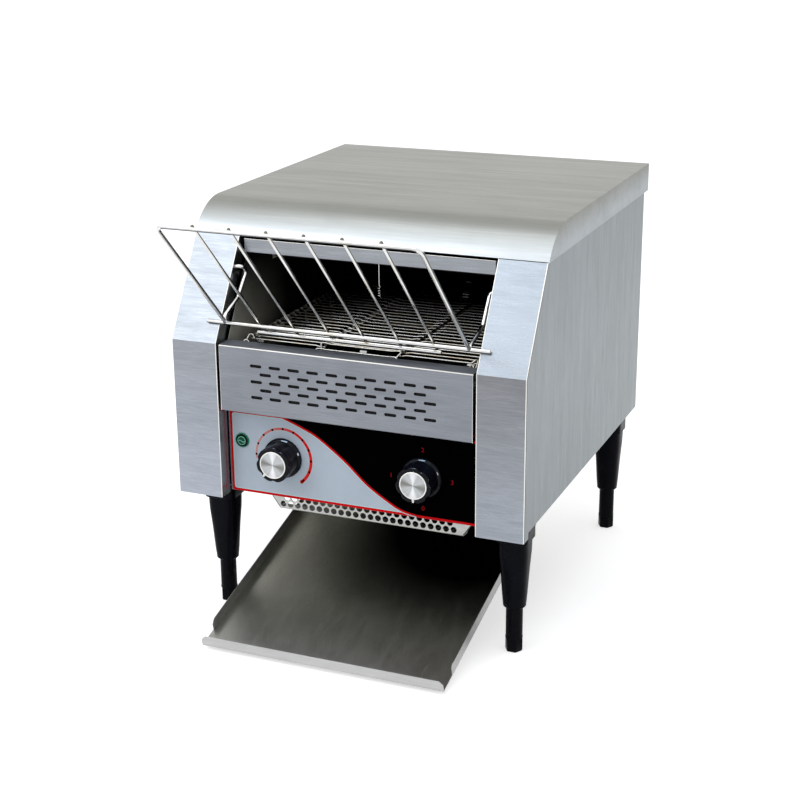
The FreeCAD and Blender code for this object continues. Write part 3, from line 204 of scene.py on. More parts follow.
# Legs
leg_spots = {"front_left": (-158.8, 49.1), "front_right": (158.8, 49.1),
             "rear_left": (-158.8, 383.8), "rear_right": (158.8, 383.8)}
leg_top_z = 142.8
collar_bottom_z = 119.0
collar_half = 16.2
sleeve_top_half = 15.0
sleeve_step_half = 11.35
sleeve_step_z = 48.2
foot_radius = 8.65
foot_hex_half = 7.9
foot_hex_height = 13.1

# Hanging rod and rear screws
screw_inset = 3.5
hanger_wire_radius = 0.55
hanger_coil_radius = 1.35
hanger_y = 91.0
hanger_low_z = 334.4
hanger_coil_z = 344.3
hanger_top_z = 383.2


# Node helpers

class Shader:
    """A procedural material under construction."""

    def __init__(self, name):
        self.material = bpy.data.materials.new(name)
        self.material.use_nodes = True
        self.tree = self.material.node_tree
        self.base = self.tree.nodes["Principled BSDF"]
        self.place = self.add("ShaderNodeTexCoord").outputs["Object"]

    def add(self, kind, **values):
        node = self.tree.nodes.new(kind)
        for key, value in values.items():
            setattr(node, key, value)
        return node

    def link(self, output, socket):
        self.tree.links.new(output, socket)

    def split(self, vector=None):
        """The X, Y and Z of a vector, or else of the place in the frame."""
        node = self.add("ShaderNodeSeparateXYZ")
        self.link(vector or self.place, node.inputs[0])
        return node.outputs

    def stretched(self, scale, turn=(0, 0, 0)):
        """Object coordinates, turned and then scaled along each axis."""
        mapping = self.add("ShaderNodeMapping")
        mapping.inputs["Scale"].default_value = scale
        mapping.inputs["Rotation"].default_value = turn
        self.link(self.place, mapping.inputs["Vector"])
        return mapping.outputs["Vector"]

    def noise(self, vector, scale=1.0, detail=3.0, roughness=0.6, distortion=0.0):
        node = self.add("ShaderNodeTexNoise")
        node.inputs["Scale"].default_value = scale
        node.inputs["Detail"].default_value = detail
        node.inputs["Roughness"].default_value = roughness
        node.inputs["Distortion"].default_value = distortion
        self.link(vector, node.inputs["Vector"])
        return node.outputs["Fac"]

    def even_noise(self, scale, **settings):
        """Noise of the same fineness along all three axes."""
        return self.noise(self.stretched((scale, scale, scale)), **settings)

    def range(self, value, low, high, low_in=0.3, high_in=0.7):
        node = self.add("ShaderNodeMapRange")
        node.inputs["From Min"].default_value = low_in
        node.inputs["From Max"].default_value = high_in
        node.inputs["To Min"].default_value = low
        node.inputs["To Max"].default_value = high
        self.link(value, node.inputs["Value"])
        return node.outputs["Result"]

    def mix(self, factor, first, second, blend="MIX"):
        node = self.add("ShaderNodeMix", data_type="RGBA", blend_type=blend)
        for key, value in ((0, factor), (6, first), (7, second)):
            if isinstance(value, bpy.types.NodeSocket):
                self.link(value, node.inputs[key])
            elif key == 0:
                node.inputs[key].default_value = value
            else:
                node.inputs[key].default_value = (*value, 1)
        return node.outputs[2]

    def math(self, operation, first, second):
        node = self.add("ShaderNodeMath", operation=operation)
        for key, value in ((0, first), (1, second)):
            if isinstance(value, bpy.types.NodeSocket):
                self.link(value, node.inputs[key])
            else:
                node.inputs[key].default_value = value
        return node.outputs[0]

    def fade(self, value, axis, low, high):
        """A colour times a factor that runs from 0 to 1 between two places on an axis, in millimetres."""
        share = self.range(self.split()[axis], 0, 1, on_axis(axis, low), on_axis(axis, high))
        return self.mix(share, (0.0, 0.0, 0.0), value)

    def bump(self, height, distance, strength=1.0):
        node = self.add("ShaderNodeBump")
        node.inputs["Strength"].default_value = strength
        node.inputs["Distance"].default_value = distance
        self.link(height, node.inputs["Height"])
        self.link(node.outputs["Normal"], self.base.inputs["Normal"])

    def set(self, **values):
        for key, value in values.items():
            socket = self.base.inputs[key.replace("_", " ")]
            if isinstance(value, bpy.types.NodeSocket):
                self.link(value, socket)
            elif isinstance(value, tuple):
                socket.default_value = (*value, 1)
            else:
                socket.default_value = value
        return self


def on_axis(axis, place):
    """A place on one axis in metres in the frame of the model."""
    return place * MM + (front_y if axis == "Y" else 0)


def shades(colour, spread):
    """A darker and a brighter shade of a colour."""
    return tuple(c * (1 - spread) for c in colour), tuple(c * (1 + spread) for c in colour)


def brushed_steel(name, colour, along, tone=0.06, rough=(0.26, 0.36), grain=(26.0, 1100.0), mottle=0.05,
                  bump=0.000004, second=None, painted_shade_spot=None):
    """Sheet steel with fine grain along one axis, broad bands of tone and a faint mottling.

    A second colour paints light and shade: it comes with the axis and the two places between which it takes over.
    A painted shade spot is the middle of a painted shadow, the radius of its core and that of its rim. All of these
    are in millimetres.
    """
    shader = Shader(name)
    long, fine = grain
    scale = [fine, fine, fine]
    broad = [fine / 9, fine / 9, fine / 9]
    scale["XYZ".index(along)] = long
    broad["XYZ".index(along)] = long / 4
    streaks = shader.noise(shader.stretched(scale), detail=2.0)
    bands = shader.noise(shader.stretched(broad), detail=3.0)
    clouds = shader.even_noise(9, detail=4.0, roughness=0.55, distortion=0.6)
    mixed = shader.math("ADD", shader.math("MULTIPLY", streaks, 0.6), shader.math("MULTIPLY", bands, 0.4))
    value = shader.range(mixed, 1 - tone, 1 + tone, 0.36, 0.64)
    soft = shader.range(clouds, 1 - mottle, 1 + mottle, 0.3, 0.7)
    level = shader.math("MULTIPLY", value, soft)
    share = shader.range(level, 0, 1, 0.5, 1.5)
    tint = shader.mix(share, *shades(colour, 0.5))
    if second or painted_shade_spot:
        place = shader.split()
    # Painted light and shade: the second colour takes over along its axis.
    if second:
        other, axis, start, end = second
        other = shader.mix(share, *shades(other, 0.5))
        tint = shader.mix(shader.range(place[axis], 0, 1, on_axis(axis, start), on_axis(axis, end)), tint,
                          other)
    # Painted shade: black within the core, fading back to the steel at its rim.
    if painted_shade_spot:
        (x, y), near, far = painted_shade_spot
        across = shader.math("SUBTRACT", place["X"], x * MM)
        along_y = shader.math("SUBTRACT", place["Y"], front_y + y * MM)
        square = shader.math("ADD", shader.math("POWER", across, 2.0), shader.math("POWER", along_y, 2.0))
        reach = shader.math("SQRT", square, 0.0)
        tint = shader.mix(shader.range(reach, 0, 1, near * MM, far * MM), (0.0, 0.0, 0.0), tint)
    shader.set(Base_Color=tint, Metallic=1.0, Roughness=shader.range(mixed, rough[1], rough[0], 0.36, 0.64))
    if bump:
        shader.bump(streaks, bump)
    return shader.material


def plain_steel(name, colour, rough=(0.3, 0.5), spots=0.25, scale=60.0):
    """Inner sheet or turned metal with heat tone and small stains."""
    shader = Shader(name)
    clouds = shader.even_noise(scale, detail=6.0, roughness=0.65)
    specks = shader.even_noise(9 * scale, detail=2.0)
    dark, bright = shades(colour, spots)
    tone = shader.mix(shader.range(clouds, 0, 1), dark, bright)
    shader.set(Base_Color=shader.mix(shader.range(specks, 0, 0.5, 0.62, 0.74), tone, dark), Metallic=1.0,
               Roughness=shader.range(clouds, *rough))
    shader.bump(specks, 0.00001)
    return shader.material


def wire_chrome(name, colour, rough=(0.10, 0.2), tint=(0.85, 0.8, 0.7), painted_shade_side="", painted_shade_fade=False):
    """Bright plated wire with fine drawing marks and a few dull patches.

    Painted shade can darken its right flank ("X") or its underside ("Z"). One with a painted shade fade goes black
    towards the back and below the top of the belt.
    """
    shader = Shader(name)
    clouds = shader.even_noise(55, detail=4.0)
    dull = tuple(c * t for c, t in zip(colour, tint))
    tone = shader.mix(shader.range(clouds, 0, 1, 0.45, 0.75), colour, dull)
    # Painted shade on the flank or the underside, by the way the surface points.
    if painted_shade_side:
        normal = shader.split(shader.add("ShaderNodeNewGeometry").outputs["Normal"])
        start, end = shaded_flank_normals if painted_shade_side == "X" else shaded_underside_normals
        tone = shader.mix(shader.range(normal[painted_shade_side], 0, wire_shade_share, start, end), tone, wire_shade)
    # Painted shade: black towards the back and below the belt's top run.
    if painted_shade_fade:
        tone = shader.mix(1.0, shader.fade(tone, "Y", *belt_shade_fade_y),
                          shader.fade((1.0, 1.0, 1.0), "Z", *belt_shade_fade_z), "MULTIPLY")
    shader.set(Base_Color=tone, Metallic=1.0, Roughness=shader.range(clouds, *rough))
    shader.bump(shader.even_noise(900, detail=2.0), 0.000006)
    return shader.material


def moulded(name, colour, rough=(0.18, 0.3), grain=900.0, depth=0.00001, gloss=0.5, spread=0.35):
    """Moulded plastic with a little orange peel."""
    shader = Shader(name)
    peel = shader.even_noise(grain, detail=2.0)
    clouds = shader.even_noise(40, detail=4.0)
    dark, bright = shades(colour, spread)
    shader.set(Base_Color=shader.mix(shader.range(clouds, 0, 1), dark, bright), Specular_IOR_Level=gloss,
               Roughness=shader.range(clouds, *rough))
    shader.bump(peel, depth)
    return shader.material


def liner_sheet(name):
    """Wall of the chamber: heat-stained olive and dull at its front foot, with painted shade that turns it black
    towards the top and back.
    """
    shader = Shader(name)
    clouds = shader.even_noise(60, detail=6.0, roughness=0.65)
    stain = shader.mix(shader.range(clouds, 0, 1), (0.36, 0.35, 0.30), (0.50, 0.49, 0.43))
    # Painted shade: the stain goes black towards the back and the top.
    tone = shader.mix(1.0, shader.fade(stain, "Y", *liner_shade_fade_y),
                      shader.fade((1.0, 1.0, 1.0), "Z", *liner_shade_fade_z), "MULTIPLY")
    shader.set(Base_Color=tone, Metallic=0.3, Roughness=shader.range(clouds, 0.45, 0.65))
    shader.bump(clouds, 0.00002)
    return shader.material


def printed(name, colour, rough=(0.28, 0.4), gloss=0.12, spread=0.05):
    """Screen print on the panel, with a fine dot texture."""
    shader = Shader(name)
    fine = shader.even_noise(2400, detail=2.0)
    clouds = shader.even_noise(25, detail=3.0)
    level = shader.math("ADD", shader.math("MULTIPLY", fine, 0.5), shader.math("MULTIPLY", clouds, 0.5))
    dark, bright = shades(colour, spread)
    shader.set(Base_Color=shader.mix(shader.range(level, 0, 1, 0.4, 0.6), dark, bright),
               Specular_IOR_Level=gloss, Roughness=shader.range(clouds, *rough))
    shader.bump(fine, 0.000003)
    return shader.material


def dial_print(name, pale, strong):
    """Red of the dial's arc, pale at its left and strong at its right."""
    shader = Shader(name)
    place = shader.split()
    left = (dial_x - 0.95 * dial_radius) * MM
    right = (dial_x + 0.5 * dial_radius) * MM
    share = shader.range(place["X"], 0, 1, left, right)
    fine = shader.even_noise(2400, detail=2.0)
    colour = shader.mix(share, pale, strong)
    shader.set(Base_Color=shader.mix(shader.range(fine, 0, 0.02), colour, (0.9, 0.9, 0.9)), Roughness=0.4,
               Specular_IOR_Level=0.1)
    return shader.material


def spun_disc(name, centre_x):
    """Turned aluminium face: fine rings, and painted wedges of light and shade like those that the rings draw out."""
    shader = Shader(name)
    place = shader.split()
    across = shader.math("SUBTRACT", place["X"], centre_x * MM)
    height = shader.math("SUBTRACT", place["Z"], knob_z * MM)
    angle = shader.math("ARCTAN2", height, across)
    merged = shader.add("ShaderNodeCombineXYZ")
    shader.link(shader.math("SINE", angle, 0.0), merged.inputs["X"])
    shader.link(shader.math("COSINE", angle, 0.0), merged.inputs["Y"])
    rays = shader.noise(merged.outputs[0], scale=7.0, detail=4.0, roughness=0.7)
    # Painted shade and painted light: dark and bright wedges set by the angle round the cap.
    tilted = shader.math("ADD", shader.math("MULTIPLY", angle, 2.0), math.radians(18.0))
    shade = shader.math("POWER", shader.range(shader.math("COSINE", tilted, 0.0), 0, 1, 0.35, 1.0), 1.6)
    upright = shader.math("MULTIPLY", angle, 2.0)
    light = shader.math("POWER", shader.range(shader.math("COSINE", upright, 0.0), 1, 0, -1.0, -0.55), 1.6)
    plain = shader.mix(shader.range(rays, 0, 1, 0.35, 0.65), (0.43, 0.44, 0.45), (0.56, 0.57, 0.58))
    darker = shader.mix(shade, plain, (0.22, 0.22, 0.21))
    shader.set(Base_Color=shader.mix(light, darker, (0.84, 0.84, 0.86)), Metallic=1.0, Roughness=0.3)
    rings = shader.add("ShaderNodeTexWave", wave_type="RINGS", rings_direction="Y")
    offset = shader.add("ShaderNodeCombineXYZ")
    shader.link(across, offset.inputs["X"])
    shader.link(height, offset.inputs["Z"])
    rings.inputs["Scale"].default_value = 900.0
    shader.link(offset.outputs[0], rings.inputs["Vector"])
    shader.bump(rings.outputs["Fac"], 0.000003)
    return shader.material


def lens_green(name):
    """Green lamp lens. The bright ring on it is a painted reflection, made as a piece of its own."""
    shader = Shader(name)
    clouds = shader.even_noise(700, detail=3.0)
    shader.set(Base_Color=shader.mix(shader.range(clouds, 0, 1), (0.0, 0.055, 0.022), (0.003, 0.12, 0.05)),
               Roughness=0.12, Specular_IOR_Level=0.1)
    shader.bump(clouds, 0.00003)
    return shader.material


# Materials

column_look = {"rough": (0.24, 0.36), "grain": (60.0, 1300.0), "mottle": 0.06}

materials = {
    # The cover's second colour is a painted highlight that lightens the brow towards its front edge.
    "cover": brushed_steel("cover_steel", (0.279, 0.283, 0.256), "X", tone=0.05, rough=(0.27, 0.38),
                           grain=(14.0, 700.0), mottle=0.06,
                           second=((0.425, 0.455, 0.475), "Z", 421.2, 399.5)),
    # Painted light: the column faces, their slants and their sides are lit and shaded copies of one steel, and the
    # columns' and the right slant's second colours are painted reflections that darken towards the top.
    "column_left": brushed_steel("left_column_painted_light_steel", (0.385, 0.412, 0.468), "X", tone=0.10, **column_look,
                                 second=((0.300, 0.316, 0.345), "Z", 150.0, 290.0)),
    "column_right": brushed_steel("right_column_painted_light_steel", (0.326, 0.350, 0.390), "X", tone=0.10, **column_look,
                                  second=((0.240, 0.244, 0.262), "Z", 150.0, 290.0)),
    "slant_left": brushed_steel("left_slant_painted_light_steel", (0.325, 0.350, 0.385), "X", tone=0.08, **column_look),
    "slant_right": brushed_steel("right_slant_painted_light_steel", (0.430, 0.480, 0.545), "X", tone=0.08, **column_look,
                                 second=((0.340, 0.380, 0.430), "Z", 310.0, 385.0)),
    "side": brushed_steel("side_painted_light_steel", (0.288, 0.316, 0.333), "Z", tone=0.06, rough=(0.26, 0.38),
                          grain=(30.0, 1000.0), mottle=0.05),
    "front": brushed_steel("front_steel", (0.25, 0.263, 0.295), "X", tone=0.09, rough=(0.24, 0.34),
                           grain=(34.0, 1200.0), mottle=0.10),
    # Painted highlight: bright steel for the folds, the vent's slot walls and ends, and the caps' rims.
    "edge": brushed_steel("fold_highlight_steel", (0.88, 0.87, 0.83), "X", tone=0.05, rough=(0.25, 0.35),
                          grain=(60.0, 900.0)),
    "guard": brushed_steel("guard_steel", (0.53, 0.53, 0.51), "X", tone=0.06, rough=(0.3, 0.42),
                           grain=(60.0, 900.0)),
    "header": brushed_steel("header_steel", (0.32, 0.335, 0.365), "X", tone=0.09, rough=(0.24, 0.34),
                            grain=(34.0, 1200.0), mottle=0.10),
    "vent_flange": brushed_steel("vent_flange_steel", (0.30, 0.32, 0.36), "X", tone=0.12, rough=(0.5, 0.65),
                                 grain=(60.0, 900.0), bump=0.0),
    "seam": plain_steel("seam_shadow", (0.02, 0.02, 0.022), rough=(0.5, 0.7)),
    # Painted light and shade on the tray: its second colour lightens it towards the back, and its painted shade spot is
    # the shadow of the machine above.
    "tray": brushed_steel("tray_steel", (0.375, 0.375, 0.345), "Y", tone=0.10, rough=(0.28, 0.40),
                          grain=(24.0, 900.0), mottle=0.10, bump=0.0,
                          second=((0.66, 0.65, 0.56), "Y", -50.0, 140.0),
                          painted_shade_spot=((75.0, 175.0), 85.0, 185.0)),
    "tray_lip": brushed_steel("tray_lip_painted_light_steel", (0.57, 0.57, 0.56), "X", tone=0.06, rough=(0.3, 0.42),
                              grain=(40.0, 900.0), bump=0.0),
    "inner": plain_steel("inner_steel", (0.16, 0.16, 0.15)),
    "liner": liner_sheet("liner_steel"),
    # Painted shade: near-black steel for the inner chamber sheets and the screw recesses, where shade falls.
    "chamber": plain_steel("painted_shade_black_steel", (0.02, 0.02, 0.018), rough=(0.5, 0.7), spots=0.4),
    "stud": plain_steel("stud_steel", (0.03, 0.03, 0.028), rough=(0.4, 0.6), spots=0.4),
    "shaft": plain_steel("shaft_steel", (0.30, 0.30, 0.30), rough=(0.2, 0.35), spots=0.12),
    # Painted shade: the rack wire darkens on its underside, the cross wire on its right flank, and the belt towards the
    # back and below its top run.
    "wire": wire_chrome("rack_wire", (0.80, 0.80, 0.80), rough=(0.06, 0.14), painted_shade_side="Z"),
    "wire_cross": wire_chrome("rack_cross_wire", (0.84, 0.84, 0.83), rough=(0.06, 0.14), painted_shade_side="X"),
    "wire_tip": plain_steel("rack_wire_end", (0.15, 0.14, 0.11), rough=(0.4, 0.6)),
    "belt": wire_chrome("belt_wire", (0.62, 0.62, 0.60), rough=(0.22, 0.36), tint=(0.8, 0.66, 0.45),
                        painted_shade_side="Z", painted_shade_fade=True),
    "grey_print": printed("panel_grey_print", (0.50, 0.57, 0.655)),
    "black_print": printed("panel_black_print", (0.0008, 0.0008, 0.0008), rough=(0.22, 0.3), gloss=0.0, spread=0.3),
    "red_print": printed("panel_red_print", (0.64, 0.003, 0.006), gloss=0.05),
    "dark_red_print": printed("panel_dark_red_print", (0.36, 0.003, 0.006), gloss=0.05),
    "cyan_print": printed("panel_cyan_print", (0.50, 0.74, 0.76)),
    "dial_print": dial_print("dial_red_print", (0.66, 0.30, 0.31), (0.72, 0.004, 0.006)),
    "leg": moulded("leg_plastic", (0.002, 0.0025, 0.005), rough=(0.2, 0.3), depth=0.00002, gloss=0.06),
    "foot": moulded("foot_plastic", (0.002, 0.0024, 0.004), rough=(0.24, 0.36), gloss=0.06),
    "knob": moulded("knob_plastic", (0.002, 0.002, 0.003), rough=(0.06, 0.12), depth=0.000002, gloss=0.13),
    "pointer": printed("pointer_white", (0.90, 0.90, 0.89)),
    "speed_cap": spun_disc("speed_cap_aluminium", -knob_x),
    "selector_cap": spun_disc("selector_cap_aluminium", knob_x),
    "lamp_ring": moulded("lamp_ring_plastic", (0.0, 0.24, 0.12), rough=(0.12, 0.2), gloss=0.3),
    "lamp_black": moulded("lamp_black_plastic", (0.001, 0.002, 0.002), rough=(0.1, 0.2), gloss=0.1),
    # Painted reflection: the pale ring and bar on the lens.
    "lamp_pale": printed("lamp_lens_painted_reflection", (0.36, 0.78, 0.66)),
    "lens": lens_green("lamp_lens_plastic"),
    "heater": plain_steel("heater_sheath", (0.10, 0.09, 0.08), rough=(0.45, 0.65)),
    "ceramic": moulded("heater_ceramic", (0.62, 0.60, 0.54), rough=(0.6, 0.75), depth=0.00004, spread=0.06),
    "bronze": plain_steel("bush_bronze", (0.30, 0.21, 0.10), rough=(0.35, 0.5)),
    "motor": moulded("motor_paint", (0.05, 0.052, 0.056), rough=(0.4, 0.55), grain=1500.0, depth=0.00003),
    "inner_plastic": moulded("inner_plastic", (0.02, 0.02, 0.021), rough=(0.45, 0.6), gloss=0.3),
    "terminal": moulded("terminal_plastic", (0.60, 0.57, 0.48), rough=(0.4, 0.55), spread=0.06),
    "screw": plain_steel("screw_steel", (0.50, 0.50, 0.49), rough=(0.2, 0.34), spots=0.1),
}


# Mesh helpers

def linked(name, data):
    """An object in the scene."""
    thing = bpy.data.objects.new(name, data)
    bpy.context.scene.collection.objects.link(thing)
    return thing


def add_object(name, mesh, material, body, replaces=()):
    """Link a piece, give it its material, and let it ride on its body."""
    piece = linked(name, mesh)
    mesh.materials.clear()
    mesh.materials.append(materials[material])
    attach(piece, body)
    if replaces:
        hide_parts(*replaces)
    return piece


def add_mesh(node, name, mesh, material, instead=False):
    """A piece of a node. It can take the place of the node's own form."""
    return add_object(name, mesh, material, body_of(node), (node,) if instead else ())


def add_form(node, name, parts, material, smooth_angle=35.0, instead=False):
    """A piece of a node from several lists of points and faces."""
    return add_mesh(node, name, joined(name, parts, smooth_angle), material, instead)


def mesh_from(name, verts, faces, smooth_angle=35.0):
    mesh = bpy.data.meshes.new(name)
    mesh.from_pydata([tuple(v) for v in verts], [], faces)
    tidy = bmesh.new()
    tidy.from_mesh(mesh)
    bmesh.ops.recalc_face_normals(tidy, faces=tidy.faces)
    tidy.to_mesh(mesh)
    tidy.free()
    return sharpened(mesh, smooth_angle)


def joined(name, parts, smooth_angle=35.0):
    """One mesh from several lists of points and faces."""
    verts = []
    faces = []
    for part_verts, part_faces in parts:
        start = len(verts)
        verts += [tuple(v) for v in part_verts]
        faces += [[start + index for index in face] for face in part_faces]
    return mesh_from(name, verts, faces, smooth_angle)


def ring_faces(rings, steps, closed=False):
    """Faces between rings of points. An open form gets a flat end at its first and its last ring."""
    faces = []
    for ring in range(rings if closed else rings - 1):
        base, after = ring * steps, (ring + 1) % rings * steps
        faces += [[base + step, base + (step + 1) % steps, after + (step + 1) % steps, after + step]
                  for step in range(steps)]
    if not closed:
        faces += [list(range(steps))[::-1], list(range((rings - 1) * steps, rings * steps))]
    return faces


def tube(points, radius, sides=12, closed=False, tip=0.0):
    """Points and faces of a round wire along a line. A tip is the height of its domed ends."""
    points = [Vector(p) for p in points]
    count = len(points)
    ways = []
    for index in range(count):
        if closed:
            way = points[(index + 1) % count] - points[index - 1]
        else:
            way = points[min(index + 1, count - 1)] - points[max(index - 1, 0)]
        ways.append(way.normalized())
    side = ways[0].orthogonal().normalized()
    rings = []
    for index in range(count):
        if index:
            side = (side - ways[index] * side.dot(ways[index])).normalized()
        other = ways[index].cross(side)
        stretch = 1.0
        if 0 < index < count - 1 or closed:
            turn = (points[index] - points[index - 1]).angle(points[(index + 1) % count] - points[index], 0)
            stretch = 1 / max(math.cos(turn / 2), 0.5)
        rings.append([points[index] + (side * math.cos(a) + other * math.sin(a)) * radius * min(stretch, 1.1)
                      for a in (2 * math.pi * step / sides for step in range(sides))])
    if tip and not closed:
        for at_end in (False, True):
            centre = points[-1] if at_end else points[0]
            way = ways[-1] if at_end else -ways[0]
            ring = rings[-1] if at_end else rings[0]
            small = [centre + way * tip + (v - centre) * 0.55 for v in ring]
            middle = [centre + way * tip * 0.6 + (v - centre) * 0.86 for v in ring]
            if at_end:
                rings += [middle, small]
            else:
                rings = [small, middle] + rings
    verts = [v for ring in rings for v in ring]
    return verts, ring_faces(len(rings), sides, closed)


def rounded_line(points, radius, steps=6):
    """A path whose corners are replaced by arcs."""
    points = [Vector(p) for p in points]
    line = [points[0]]
    for index in range(1, len(points) - 1):
        corner = points[index]
        back = (points[index - 1] - corner)
        ahead = (points[index + 1] - corner)
        half = back.angle(ahead) / 2
        reach = min(radius / math.tan(half), 0.48 * back.length, 0.48 * ahead.length)
        bend = reach * math.tan(half)
        back.normalize()
        ahead.normalize()
        centre = corner + (back + ahead).normalized() * (bend / math.sin(half))
        first = corner + back * reach
        turn = math.pi - 2 * half
        axis = (first - centre).cross(back)
        if axis.length < 1e-12 or turn < 0.01:
            line.append(corner)
            continue
        for step in range(steps + 1):
            spin = Matrix.Rotation(-turn * step / steps, 3, axis.normalized())
            line.append(centre + spin @ (first - centre))
    line.append(points[-1])
    return line


def turned(profile, centre, axis, steps=96, closed=False):
    """Points and faces of a form turned about an axis. A profile point is its radius and its height."""
    axis = Vector(axis).normalized()
    side = axis.orthogonal().normalized()
    other = axis.cross(side)
    verts = []
    for radius, height in profile:
        for step in range(steps):
            angle = 2 * math.pi * step / steps
            spoke = side * math.cos(angle) + other * math.sin(angle)
            verts.append(centre + axis * (height * MM) + spoke * (radius * MM))
    return verts, ring_faces(len(profile), steps, closed)


def curve_mesh(name, curve):
    holder = linked(name, curve)
    bpy.context.view_layer.update()
    mesh = bpy.data.meshes.new_from_object(holder)
    bpy.data.objects.remove(holder)
    bpy.data.curves.remove(curve)
    return mesh


def flat_shape(name, outlines, depth, bevel=0.0):
    """Flat plate in the XZ plane from closed outlines in millimetres. Inner outlines are its holes."""
    curve = bpy.data.curves.new(name, "CURVE")
    curve.dimensions = "2D"
    curve.fill_mode = "BOTH"
    curve.extrude = max(depth / 2 - bevel, 0) * MM
    curve.bevel_depth = bevel * MM
    curve.bevel_resolution = 1
    curve.offset = -bevel * MM
    for outline in outlines:
        spline = curve.splines.new("POLY")
        spline.points.add(len(outline) - 1)
        for point, (x, z) in zip(spline.points, outline):
            point.co = (x * MM, z * MM, 0, 1)
        spline.use_cyclic_u = True
    mesh = curve_mesh(name, curve)
    upright = Matrix(((1, 0, 0, 0), (0, 0, 1, 0), (0, 1, 0, 0), (0, 0, 0, 1)))
    mesh.transform(upright)
    mesh.flip_normals()
    return mesh


def moved(mesh, x, y, z, turn_x=0.0):
    """Turn a mesh about X and carry it to its place, given in millimetres."""
    mesh.transform(Matrix.Translation(spot(x, y, z)) @ Matrix.Rotation(turn_x, 4, "X"))
    return mesh


def sharpened(mesh, angle):
    """Shade a mesh smooth, apart from its edges over an angle in degrees."""
    mesh.shade_smooth()
    mesh.set_sharp_from_angle(angle=math.radians(angle))
    return mesh


def swept(profile, x0, x1):
    """Points and faces of a profile in the YZ plane that runs along X, in millimetres."""
    return [spot(x, y, z) for x in (x0, x1) for y, z in profile], ring_faces(2, len(profile))


def with_folds(name, face, parts, weld=0.0):
    """One mesh of a flat face and its folds. A weld is the distance within which their points merge."""
    folds = joined(name, parts, 40)
    merged = bmesh.new()
    merged.from_mesh(face)
    merged.from_mesh(folds)
    if weld:
        bmesh.ops.remove_doubles(merged, verts=merged.verts, dist=weld)
    merged.to_mesh(folds)
    merged.free()
    return sharpened(folds, 32)


def circle(x, z, radius, steps=20, start=0.0):
    return [(x + radius * math.cos(start + 2 * math.pi * step / steps),
             z + radius * math.sin(start + 2 * math.pi * step / steps)) for step in range(steps)]


def rounded_box(x0, x1, z0, z1, radius, steps=6):
    points = []
    for cx, cz, start in ((x1 - radius, z1 - radius, 0), (x0 + radius, z1 - radius, 90),
                          (x0 + radius, z0 + radius, 180), (x1 - radius, z0 + radius, 270)):
        for step in range(steps + 1):
            angle = math.radians(start + 90 * step / steps)
            points.append((cx + radius * math.cos(angle), cz + radius * math.sin(angle)))
    return points


def body_of(node):
    for body, members in frame["record"]["behaviour"]["bodies"].items():
        if node in members:
            return body
    return "root"


def paint(piece, material, test):
    """Give the faces that pass a test another material. It sees a face's normal and its middle."""
    mesh = piece.data
    mesh.materials.append(materials[material])
    for face in mesh.polygons:
        if test(face.normal, face.center):
            face.material_index = len(mesh.materials) - 1


def dress(node, material, bevel=0.0, edge=None):
    """Show a node's own form with merged flats, rounded folds and a material."""
    source = frame["nodes"][node]
    mesh = source.data.copy()
    if "custom_normal" in mesh.attributes:
        mesh.attributes.remove(mesh.attributes["custom_normal"])
    tidy = bmesh.new()
    tidy.from_mesh(mesh)
    bmesh.ops.remove_doubles(tidy, verts=tidy.verts, dist=0.00002)
    bmesh.ops.dissolve_limit(tidy, angle_limit=math.radians(0.6), verts=tidy.verts, edges=tidy.edges)
    bmesh.ops.recalc_face_normals(tidy, faces=tidy.faces)
    tidy.to_mesh(mesh)
    tidy.free()
    mesh.name = node + "_dressed"
    sharpened(mesh, fold_angle_deg)
    piece = add_mesh(node, node + "_finish", mesh, material, instead=True)
    if bevel:
        fold = piece.modifiers.new("folds", "BEVEL")
        fold.width = bevel * MM
        fold.segments = fold_segments
        fold.limit_method = "ANGLE"
        fold.angle_limit = math.radians(fold_angle_deg)
        fold.harden_normals = True
        fold.use_clamp_overlap = True
        if edge:
            mesh.materials.append(materials[edge])
            fold.material = len(mesh.materials) - 1
    return piece


def finish_node(node, material):
    """Give a node that keeps its shape its material."""
    piece = frame["nodes"][node]
    piece.data.materials.clear()
    piece.data.materials.append(materials[material])


# Belt

def belt_loop_length():
    return 2 * (belt_rear_y - belt_front_y) + 2 * math.pi * belt_radius


def belt_matrix(distance):
    """Matrix that carries a strand's own plane to its place on the loop."""
    run = belt_rear_y - belt_front_y
    bend = math.pi * belt_radius
    shaft_z = belt_top_z - belt_radius
    distance %= belt_loop_length()
    if distance < run:
        y, z, turn = belt_front_y + distance, belt_top_z, 0.0
    elif distance < run + bend:
        turn = -(distance - run) / belt_radius
        y = belt_rear_y - belt_radius * math.sin(turn)
        z = shaft_z + belt_radius * math.cos(turn)
    elif distance < 2 * run + bend:
        turn = -math.pi
        y, z = belt_rear_y - (distance - run - bend), shaft_z - belt_radius
    else:
        turn = -math.pi - (distance - 2 * run - bend) / belt_radius
        y = belt_front_y - belt_radius * math.sin(turn)
        z = shaft_z + belt_radius * math.cos(turn)
    return Matrix.Translation(spot(0, y, z)) @ Matrix.Rotation(turn, 4, "X")


